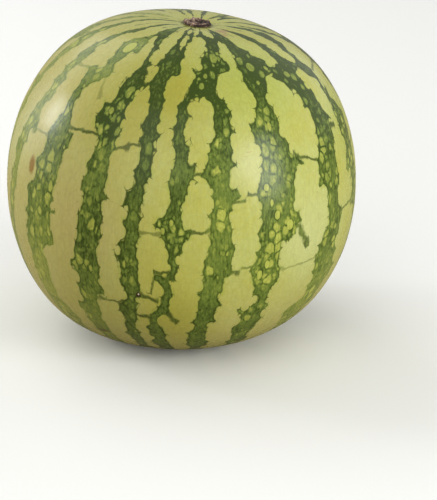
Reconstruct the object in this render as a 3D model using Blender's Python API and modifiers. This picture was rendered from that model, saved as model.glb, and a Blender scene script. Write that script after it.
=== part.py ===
"""A whole watermelon, as picked, standing on its blossom end.

The fruit is one body. Its outline is turned about the fruit's own axis, from the dry scar
that the stalk left at the top to the small blossom scar underneath. The body then bends a
little, so that the stem end leans to +X while the blossom end stays straight below, swells
gently in a few places as a grown fruit does, and is pressed flat where it rests.

Metres, +Z up. The origin is under the middle of the fruit, on the surface it stands on.
"""

import math

import bpy
from mathutils import Euler, Vector

COLLECTION_NAME = "watermelon"
FRUIT_NAME = "watermelon"

# Body: the widest circle, and the two ends measured from it along the axis
GIRTH_RADIUS = 0.0950
STEM_END_HEIGHT = 0.0896
BLOSSOM_END_HEIGHT = 0.0860

# How full each half is: 1 is an ellipse, and less gives a broader, flatter end
STEM_END_FULLNESS = 0.720
BLOSSOM_END_FULLNESS = 0.660

# The axis leans to +X, by this much at the stem end and not at all at the blossom end
STEM_END_LEAN = math.radians(5.6)

# Stem end: a wide shallow dimple, and in it the corky scar with its raised rim
DIMPLE_DEPTH = 0.0016
DIMPLE_SPREAD = 0.0170
SCAR_RADIUS = 0.0076
SCAR_RIM_RADIUS = 0.0056
SCAR_RIM_HEIGHT = 0.0010
SCAR_CENTRE_HEIGHT = 0.0002
SCAR_GROOVE_RADIUS = 0.0088
SCAR_GROOVE_DEPTH = 0.0005

# Blossom end: the flat resting spot, and the small scar sunk in the middle of it
REST_RADIUS = 0.0200
FLATTENING = 0.0002
BLOSSOM_SCAR_RADIUS = 0.0055
BLOSSOM_SCAR_DEPTH = 0.0010

# Gentle swellings: direction as azimuth from +X and elevation, then height and spread
SWELLINGS = (
    {"azimuth": 201.0, "elevation": -49.0, "height": 0.0009, "spread": 14.0},
    {"azimuth": -6.0, "elevation": -17.0, "height": 0.0007, "spread": 18.0},
    {"azimuth": 160.0, "elevation": 56.0, "height": 0.0006, "spread": 12.0},
    {"azimuth": 95.0, "elevation": -8.0, "height": 0.0008, "spread": 30.0},
)

# Fineness of the solid
SIDES = 60
BODY_RINGS = 28

RIND_COLOUR = (0.36, 0.37, 0.10, 1.0)
RIND_ROUGHNESS = 0.34


def clear_scene():
    """Remove the objects that the file starts with."""
    for scene_object in list(bpy.data.objects):
        bpy.data.objects.remove(scene_object, do_unlink=True)


def make_collection(name):
    """Make the collection that holds the fruit."""
    collection = bpy.data.collections.new(name)
    bpy.context.scene.collection.children.link(collection)
    return collection


def make_rind_material():
    """The waxy pale yellow-green rind."""
    material = bpy.data.materials.new("rind")
    material.use_nodes = True
    shader = material.node_tree.nodes["Principled BSDF"]
    shader.inputs["Base Color"].default_value = RIND_COLOUR
    shader.inputs["Roughness"].default_value = RIND_ROUGHNESS
    shader.inputs["Metallic"].default_value = 0.0
    return material


def body_point(angle):
    """Radius and height of the plain body at an angle from the stem end."""
    if angle <= math.pi / 2:
        height, fullness = STEM_END_HEIGHT, STEM_END_FULLNESS
    else:
        height, fullness = BLOSSOM_END_HEIGHT, BLOSSOM_END_FULLNESS
    return GIRTH_RADIUS * math.sin(angle) ** fullness, height * math.cos(angle)


def body_angle(radius, stem_end):
    """Angle from the stem end at which the body has a radius, in one of its halves."""
    fullness = STEM_END_FULLNESS if stem_end else BLOSSOM_END_FULLNESS
    angle = math.asin((radius / GIRTH_RADIUS) ** (1.0 / fullness))
    return angle if stem_end else math.pi - angle


def dimple(radius):
    """How far the dimple lowers the stem end at a radius."""
    return DIMPLE_DEPTH * math.exp(-((radius / DIMPLE_SPREAD) ** 2))


def outline():
    """The fruit's outline from the stem scar to the blossom scar, as (radius, height)."""
    points = []
    scar_steps = (
        (0.0, SCAR_CENTRE_HEIGHT),
        (SCAR_RIM_RADIUS * 0.55, SCAR_CENTRE_HEIGHT),
        (SCAR_RIM_RADIUS, SCAR_RIM_HEIGHT),
        (SCAR_RADIUS, 0.0),
        (SCAR_GROOVE_RADIUS, -SCAR_GROOVE_DEPTH),
    )
    for radius, rise in scar_steps:
        height = body_point(body_angle(radius, True))[1]
        points.append((radius, height - dimple(radius) + rise))

    first = body_angle(SCAR_GROOVE_RADIUS * 1.25, True)
    last = body_angle(REST_RADIUS, False)
    for ring in range(BODY_RINGS + 1):
        angle = first + (last - first) * ring / BODY_RINGS
        radius, height = body_point(angle)
        if angle < math.pi / 2:
            height -= dimple(radius)
        points.append((radius, height))

    rest_height = points[-1][1]
    points.append((BLOSSOM_SCAR_RADIUS, rest_height))
    points.append((BLOSSOM_SCAR_RADIUS * 0.7, rest_height + BLOSSOM_SCAR_DEPTH * 0.7))
    points.append((0.0, rest_height + BLOSSOM_SCAR_DEPTH))
    return points


def turned_mesh(name, points):
    """Turn an outline about the Z axis into a closed mesh."""
    profile_mesh = bpy.data.meshes.new(name + "_outline")
    vertices = [(radius, 0.0, height) for radius, height in points]
    edges = [(index, index + 1) for index in range(len(points) - 1)]
    profile_mesh.from_pydata(vertices, edges, [])
    profile = bpy.data.objects.new(name + "_outline", profile_mesh)
    bpy.context.scene.collection.objects.link(profile)

    screw = profile.modifiers.new("turn", "SCREW")
    screw.axis = "Z"
    screw.steps = SIDES
    screw.render_steps = SIDES
    screw.use_merge_vertices = True
    screw.merge_threshold = 0.00001

    evaluated = profile.evaluated_get(bpy.context.evaluated_depsgraph_get())
    mesh = bpy.data.meshes.new_from_object(evaluated)
    mesh.name = name
    bpy.data.objects.remove(profile, do_unlink=True)
    bpy.data.meshes.remove(profile_mesh)
    return mesh


def bend(point):
    """Lean a point of the fruit to +X, from nothing at the blossom end to the full lean."""
    share = (point.z + BLOSSOM_END_HEIGHT) / (STEM_END_HEIGHT + BLOSSOM_END_HEIGHT)
    turned = point.copy()
    turned.rotate(Euler((0.0, STEM_END_LEAN * share, 0.0)))
    return turned


def swelling_at(direction):
    """How far the fruit swells outwards in a direction."""
    swell = 0.0
    for lump in SWELLINGS:
        azimuth = math.radians(lump["azimuth"])
        elevation = math.radians(lump["elevation"])
        middle = Vector((
            math.cos(elevation) * math.cos(azimuth),
            math.cos(elevation) * math.sin(azimuth),
            math.sin(elevation),
        ))
        away = direction.angle(middle) / math.radians(lump["spread"])
        swell += lump["height"] * math.exp(-0.5 * away * away)
    return swell


def shape_fruit(mesh):
    """Bend and swell the turned body, and press it flat where it rests."""
    for vertex in mesh.vertices:
        point = bend(vertex.co)
        direction = point.normalized()
        vertex.co = point + direction * swelling_at(direction)

    rest_height = body_point(body_angle(REST_RADIUS, False))[1]
    for vertex in mesh.vertices:
        if vertex.co.z < rest_height + FLATTENING:
            vertex.co.z = rest_height


def stand_on_origin(mesh):
    """Put the middle of the fruit's box over the origin and its resting spot at zero."""
    low = Vector(min(vertex.co[axis] for vertex in mesh.vertices) for axis in range(3))
    high = Vector(max(vertex.co[axis] for vertex in mesh.vertices) for axis in range(3))
    shift = Vector(((low.x + high.x) / 2, (low.y + high.y) / 2, low.z))
    for vertex in mesh.vertices:
        vertex.co -= shift


def make_watermelon(collection, material):
    """Model the whole fruit as one solid."""
    mesh = turned_mesh(FRUIT_NAME, outline())
    shape_fruit(mesh)
    stand_on_origin(mesh)
    mesh.materials.clear()
    mesh.materials.append(material)
    mesh.shade_smooth()
    fruit = bpy.data.objects.new(FRUIT_NAME, mesh)
    collection.objects.link(fruit)
    return fruit


def main():
    """Model the watermelon."""
    clear_scene()
    collection = make_collection(COLLECTION_NAME)
    make_watermelon(collection, make_rind_material())


main()
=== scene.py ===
"""Looks of a whole watermelon that stands on its blossom end.

The rind is a fine mesh of the fruit's own form. Its stripes, beads and net are laid out on
the fruit by level and longitude, stored on the mesh as smooth fields, and coloured by a
node material. The corky scars at both ends are pieces of their own. A plain pale floor,
soft lights and the camera complete the scene.
"""

import logging
import math
from dataclasses import dataclass, field
from enum import Enum
from typing import Any

import bpy
import numpy as np
from mathutils import Matrix, Vector, kdtree, noise


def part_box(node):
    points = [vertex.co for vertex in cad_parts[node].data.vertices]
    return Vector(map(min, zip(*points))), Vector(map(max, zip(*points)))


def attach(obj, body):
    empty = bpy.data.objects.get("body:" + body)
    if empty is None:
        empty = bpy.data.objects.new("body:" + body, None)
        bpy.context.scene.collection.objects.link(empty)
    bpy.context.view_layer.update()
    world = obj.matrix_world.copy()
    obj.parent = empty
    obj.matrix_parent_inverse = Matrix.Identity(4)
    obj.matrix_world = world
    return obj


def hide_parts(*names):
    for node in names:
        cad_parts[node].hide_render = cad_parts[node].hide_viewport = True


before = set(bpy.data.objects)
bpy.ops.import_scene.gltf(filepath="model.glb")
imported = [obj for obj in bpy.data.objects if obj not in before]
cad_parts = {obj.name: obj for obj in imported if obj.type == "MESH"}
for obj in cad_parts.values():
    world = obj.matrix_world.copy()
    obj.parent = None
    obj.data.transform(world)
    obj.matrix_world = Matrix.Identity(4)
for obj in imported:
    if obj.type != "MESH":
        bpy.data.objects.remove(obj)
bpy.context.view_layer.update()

LOG = logging.getLogger("watermelon")
MM = 0.001
FRUIT_NODE = "watermelon"
BODY = "root"

# Points of a measured outline, and how far in radians a level just beside an end is from it
PROFILE_POINTS = 721
BESIDE_END = 1e-4

Colour = tuple[float, float, float, float]
Pair = tuple[float, float]
Curve = tuple[tuple[float, float], ...]
Edges = tuple[tuple[float, float, float], ...]


class Slot(Enum):
    """Material slots of the record."""

    RIND = "rind"
    SCAR = "scar_cork"


class Blend(Enum):
    """Ways in which one colour is laid over another."""

    PLAIN = "MIX"
    DARKEN = "MULTIPLY"


class Corners(Enum):
    """What becomes of a piece's corners when its faces are halved."""

    KEPT = "SIMPLE"
    ROUNDED = "CATMULL_CLARK"


def tint(code: str) -> Colour:
    """Turn a screen colour into the linear colour that shaders take.

    Args:
        code: The colour as six hexadecimal digits.

    Returns:
        Linear red, green, blue and alpha.
    """
    channels = [int(code[place:place + 2], 16) / 255 for place in (0, 2, 4)]
    linear = [c / 12.92 if c <= 0.04045 else ((c + 0.055) / 1.055) ** 2.4 for c in channels]
    return (linear[0], linear[1], linear[2], 1.0)


def deselect_all() -> None:
    """Leave edit mode and clear the selection."""
    if bpy.context.object and bpy.context.object.mode != "OBJECT":
        bpy.ops.object.mode_set(mode="OBJECT")
    bpy.ops.object.select_all(action="DESELECT")


def halve_faces(piece: bpy.types.Object, times: int, corners: Corners) -> None:
    """Halve a piece's faces both ways, as often as asked.

    Args:
        piece: The object to make finer.
        times: How often its faces are halved.
        corners: What becomes of its corners.
    """
    finer = piece.modifiers.new("finer", "SUBSURF")
    finer.subdivision_type = corners.value
    finer.levels = times
    finer.render_levels = times
    bpy.context.view_layer.objects.active = piece
    bpy.ops.object.modifier_apply(modifier=finer.name)


def dress(piece: bpy.types.Object, material: bpy.types.Material) -> None:
    """Shade a modelled piece smooth, give it its material and report it.

    Args:
        piece: The modelled piece.
        material: Its finish.
    """
    deselect_all()
    piece.select_set(True)
    bpy.context.view_layer.objects.active = piece
    bpy.ops.object.shade_smooth()
    piece.data.materials.append(material)
    LOG.info("%s: %d faces", piece.name, len(piece.data.polygons))


def read_points(mesh: bpy.types.Mesh) -> np.ndarray:
    """Return a mesh's vertex positions as an array of rows x, y, z.

    Args:
        mesh: The mesh to read.

    Returns:
        One row for each vertex.
    """
    flat = np.empty(len(mesh.vertices) * 3)
    mesh.vertices.foreach_get("co", flat)
    return flat.reshape(-1, 3)


def write_points(mesh: bpy.types.Mesh, points: np.ndarray) -> None:
    """Move a mesh's vertices.

    Args:
        mesh: The mesh to change.
        points: One row x, y, z for each vertex.
    """
    mesh.vertices.foreach_set("co", points.astype(np.float32).ravel())
    mesh.update()


def store_field(mesh: bpy.types.Mesh, name: str, values: np.ndarray) -> None:
    """Store a number or a vector for each vertex, for the material to read.

    Args:
        mesh: The mesh that keeps the values.
        name: The attribute's name.
        values: One number or one row of three for each vertex.
    """
    is_vector = values.ndim == 2
    attribute = mesh.attributes.new(name, "FLOAT_VECTOR" if is_vector else "FLOAT", "POINT")
    attribute.data.foreach_set("vector" if is_vector else "value", values.astype(np.float32).ravel())


def smooth_step(values: np.ndarray, low: float, high: float) -> np.ndarray:
    """Rise smoothly from 0 at low to 1 at high.

    Args:
        values: The numbers to map.
        low: Where the result is 0.
        high: Where the result is 1.

    Returns:
        Numbers from 0 to 1.
    """
    share = np.clip((values - low) / (high - low), 0.0, 1.0)
    return share * share * (3.0 - 2.0 * share)


def read_curve(curve: Curve, at: np.ndarray | float) -> np.ndarray:
    """Read a curve of values at one or many places.

    Args:
        curve: Rows of place and value.
        at: The places.

    Returns:
        The values there.
    """
    rows = np.array(curve)
    return np.interp(at, rows[:, 0], rows[:, 1])


def unit_rows(rows: np.ndarray) -> np.ndarray:
    """Return rows scaled to a length of 1."""
    return rows / np.linalg.norm(rows, axis=1, keepdims=True)


def grain_at(points: np.ndarray, length: float) -> np.ndarray:
    """Return smooth noise from about -1 to 1 at each point, with waves of about a length."""
    return np.array([noise.noise(Vector(point) / length) for point in points])


@dataclass(frozen=True)
class Swelling:
    """A gentle swelling: where it is as seen from the middle, its height and its spread."""

    azimuth: float
    elevation: float
    height: float
    spread: float


@dataclass(frozen=True)
class FruitForm:
    """The fruit's form. A place on it is a level and a longitude, both in radians.

    The level is 0 at the stem end, a quarter turn at the widest circle and a half turn at
    the blossom end. Longitude 0 faces the camera and grows to the right.
    """

    girth_radius: float = 95.0 * MM
    stem_end_height: float = 89.6 * MM
    blossom_end_height: float = 86.0 * MM
    stem_end_fullness: float = 0.720
    blossom_end_fullness: float = 0.660
    stem_end_lean: float = math.radians(5.6)
    dimple_depth: float = 1.6 * MM
    dimple_spread: float = 17.0 * MM
    groove_radius: float = 8.8 * MM
    groove_depth: float = 0.5 * MM
    groove_width: float = 0.9 * MM
    rest_radius: float = 20.0 * MM
    blossom_scar_radius: float = 5.5 * MM
    blossom_scar_depth: float = 1.0 * MM
    blossom_scar_floor: float = 0.7
    ripple_height: float = 0.16 * MM
    ripple_length: float = 17.0 * MM
    swellings: tuple[Swelling, ...] = (
        Swelling(azimuth=201.0, elevation=-49.0, height=0.9 * MM, spread=14.0),
        Swelling(azimuth=-6.0, elevation=-17.0, height=0.7 * MM, spread=18.0),
        Swelling(azimuth=160.0, elevation=56.0, height=0.6 * MM, spread=12.0),
        Swelling(azimuth=95.0, elevation=-8.0, height=0.8 * MM, spread=30.0),
    )

    def places(self, directions: np.ndarray) -> tuple[np.ndarray, np.ndarray]:
        """Find the level and the longitude that lie in each direction from the middle.

        Args:
            directions: Rows of unit vectors.

        Returns:
            The levels and the longitudes.
        """
        across = np.hypot(directions[:, 0], directions[:, 1])
        fullness = np.where(directions[:, 2] > 0, self.stem_end_fullness, self.blossom_end_fullness)
        level = np.arcsin(np.clip(across, 0.0, 1.0) ** (1.0 / fullness))
        level = np.where(directions[:, 2] > 0, level, math.pi - level)
        return level, np.arctan2(directions[:, 0], -directions[:, 1])

    def radius(self, level: np.ndarray) -> np.ndarray:
        """Return the distance from the axis at each level.

        Args:
            level: Levels in radians.

        Returns:
            Radii in metres.
        """
        fullness = np.where(level < math.pi / 2, self.stem_end_fullness, self.blossom_end_fullness)
        return self.girth_radius * np.sin(np.clip(level, 0.0, math.pi)) ** fullness

    def height(self, level: np.ndarray) -> np.ndarray:
        """Return the height over the widest circle at each level.

        Args:
            level: Levels in radians.

        Returns:
            Heights in metres.
        """
        top = level < math.pi / 2
        return np.cos(level) * np.where(top, self.stem_end_height, self.blossom_end_height)

    def way_down(self, level: np.ndarray) -> np.ndarray:
        """Return the length of rind from the stem end down to each level.

        Args:
            level: Levels in radians.

        Returns:
            Lengths in metres.
        """
        steps = np.linspace(0.0, math.pi, PROFILE_POINTS)
        lengths = np.hypot(np.diff(self.radius(steps)), np.diff(self.height(steps)))
        return np.interp(level, steps, np.concatenate([[0.0], np.cumsum(lengths)]))

    def rest_height(self) -> float:
        """Return the height of the flat resting spot, under the widest circle."""
        level = math.asin((self.rest_radius / self.girth_radius) ** (1.0 / self.blossom_end_fullness))
        return -self.blossom_end_height * math.cos(level)

    def swell(self, points: np.ndarray) -> np.ndarray:
        """Push points outwards by the gentle swellings.

        Args:
            points: Rows x, y, z about the middle of the fruit.

        Returns:
            The moved points.
        """
        directions = unit_rows(points)
        total = np.zeros(len(points))
        for lump in self.swellings:
            azimuth, elevation = math.radians(lump.azimuth), math.radians(lump.elevation)
            middle = np.array([
                math.cos(elevation) * math.cos(azimuth),
                math.cos(elevation) * math.sin(azimuth),
                math.sin(elevation),
            ])
            away = np.degrees(np.arccos(np.clip(directions @ middle, -1.0, 1.0))) / lump.spread
            total += lump.height * np.exp(-0.5 * away * away)
        return points + directions * total[:, None]

    def surface(self, level: np.ndarray, longitude: np.ndarray, rippled: bool = False) -> np.ndarray:
        """Return the points of the rind, about the middle of the widest circle.

        Args:
            level: Levels in radians.
            longitude: Longitudes in radians.
            rippled: Whether the faint unevenness of a grown rind is added.

        Returns:
            Rows x, y, z in metres.
        """
        radius, height = self.radius(level), self.height(level)
        at_stem_end = height > 0
        dimple = self.dimple_depth * np.exp(-((radius / self.dimple_spread) ** 2))
        groove = self.groove_depth * np.exp(-(((radius - self.groove_radius) / self.groove_width) ** 2))
        height = height - np.where(at_stem_end, dimple + groove, 0.0)
        x, y = radius * np.sin(longitude), -radius * np.cos(longitude)

        share = (height + self.blossom_end_height) / (self.stem_end_height + self.blossom_end_height)
        lean = self.stem_end_lean * share
        bent = np.stack([
            x * np.cos(lean) + height * np.sin(lean),
            y,
            height * np.cos(lean) - x * np.sin(lean),
        ], axis=1)
        points = self.swell(bent)
        if rippled:
            points = self.ripple(points)

        scar = self.blossom_scar_radius
        sunk = smooth_step(-radius, -scar, -scar * self.blossom_scar_floor)
        floor = self.rest_height() + np.where(at_stem_end, 0.0, self.blossom_scar_depth * sunk)
        points[:, 2] = np.maximum(points[:, 2], floor)
        return points

    def ripple(self, points: np.ndarray) -> np.ndarray:
        """Add the faint unevenness that bends the highlights on a grown rind.

        Args:
            points: Rows x, y, z about the middle of the fruit.

        Returns:
            The moved points.
        """
        scale = 1.0 / self.ripple_length
        waves = np.array([noise.noise(Vector(point) * scale) for point in points])
        return points + unit_rows(points) * (self.ripple_height * waves)[:, None]


@dataclass(frozen=True)
class Standing:
    """How the form is moved and fitted so that the rind fills the CAD box and no more."""

    shift: np.ndarray
    scale: np.ndarray

    @classmethod
    def in_box(cls, points: np.ndarray, low: Vector, high: Vector) -> "Standing":
        """Work out the fit of the form's points to a box.

        Args:
            points: The form's points, about the middle of the widest circle.
            low: The box's lowest corner.
            high: The box's highest corner.

        Returns:
            The fit.
        """
        size = points.max(axis=0) - points.min(axis=0)
        room = np.array(high) - np.array(low)
        scale = np.minimum(1.0, room / size)
        middle = (points.max(axis=0) + points.min(axis=0)) / 2
        shift = (np.array(high) + np.array(low)) / 2 - middle * scale
        return cls(shift=shift, scale=scale)

    def spot(self, form: FruitForm, level: float, longitude: float) -> tuple[float, float, float]:
        """Return where a level and a longitude in degrees lie in the scene.

        Args:
            form: The fruit's form.
            level: Degrees from the stem end.
            longitude: Degrees to the right of the camera's side.

        Returns:
            The point in the scene's frame.
        """
        at = np.radians([[level, longitude]])
        return tuple(float(value) for value in self.stand(form.surface(at[:, 0], at[:, 1]))[0])

    def beside_end(self, form: FruitForm, level: float) -> np.ndarray:
        """Return where the rind lies in the scene at a level in radians, on the camera's side."""
        return self.stand(form.surface(np.array([level]), np.array([0.0])))[0]

    def stand(self, points: np.ndarray) -> np.ndarray:
        """Move points of the form to where the fruit stands.

        Args:
            points: Rows about the middle of the widest circle.

        Returns:
            Rows in the scene's frame.
        """
        return points * self.scale + self.shift


@dataclass(frozen=True)
class Stripe:
    """A dark stripe of the rind, in degrees.

    Each row of edges is a level, and the longitudes of the stripe's left and right edge
    there. Depth says how dark the stripe is at some levels, and net says how thick the
    lime cells lie in it there, both from 0 to 1.
    """

    edges: Edges
    depth: Curve = ((36.0, 1.0), (66.0, 0.75))
    net: Curve = ((0.0, 0.4),)

    def edges_at(self, level: np.ndarray) -> tuple[np.ndarray, np.ndarray]:
        """Return the left and right edge at each level.

        Args:
            level: Levels in degrees.

        Returns:
            Longitudes in degrees.
        """
        rows = np.array(self.edges)
        return np.interp(level, rows[:, 0], rows[:, 1]), np.interp(level, rows[:, 0], rows[:, 2])


@dataclass(frozen=True)
class Thread:
    """A thin dark line across a pale band: its ends as level and longitude, width, strength."""

    start: tuple[float, float]
    end: tuple[float, float]
    width: float = 1.0
    strength: float = 1.0


class SpotKind(Enum):
    """What a spot in a dark stripe is made of."""

    PALE = "pale"
    LIME = "lime"


@dataclass(frozen=True)
class Spot:
    """A single light spot: its level and longitude, and its half length and half width in mm."""

    level: float
    longitude: float
    half_length: float
    half_width: float
    kind: SpotKind = SpotKind.LIME


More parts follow.
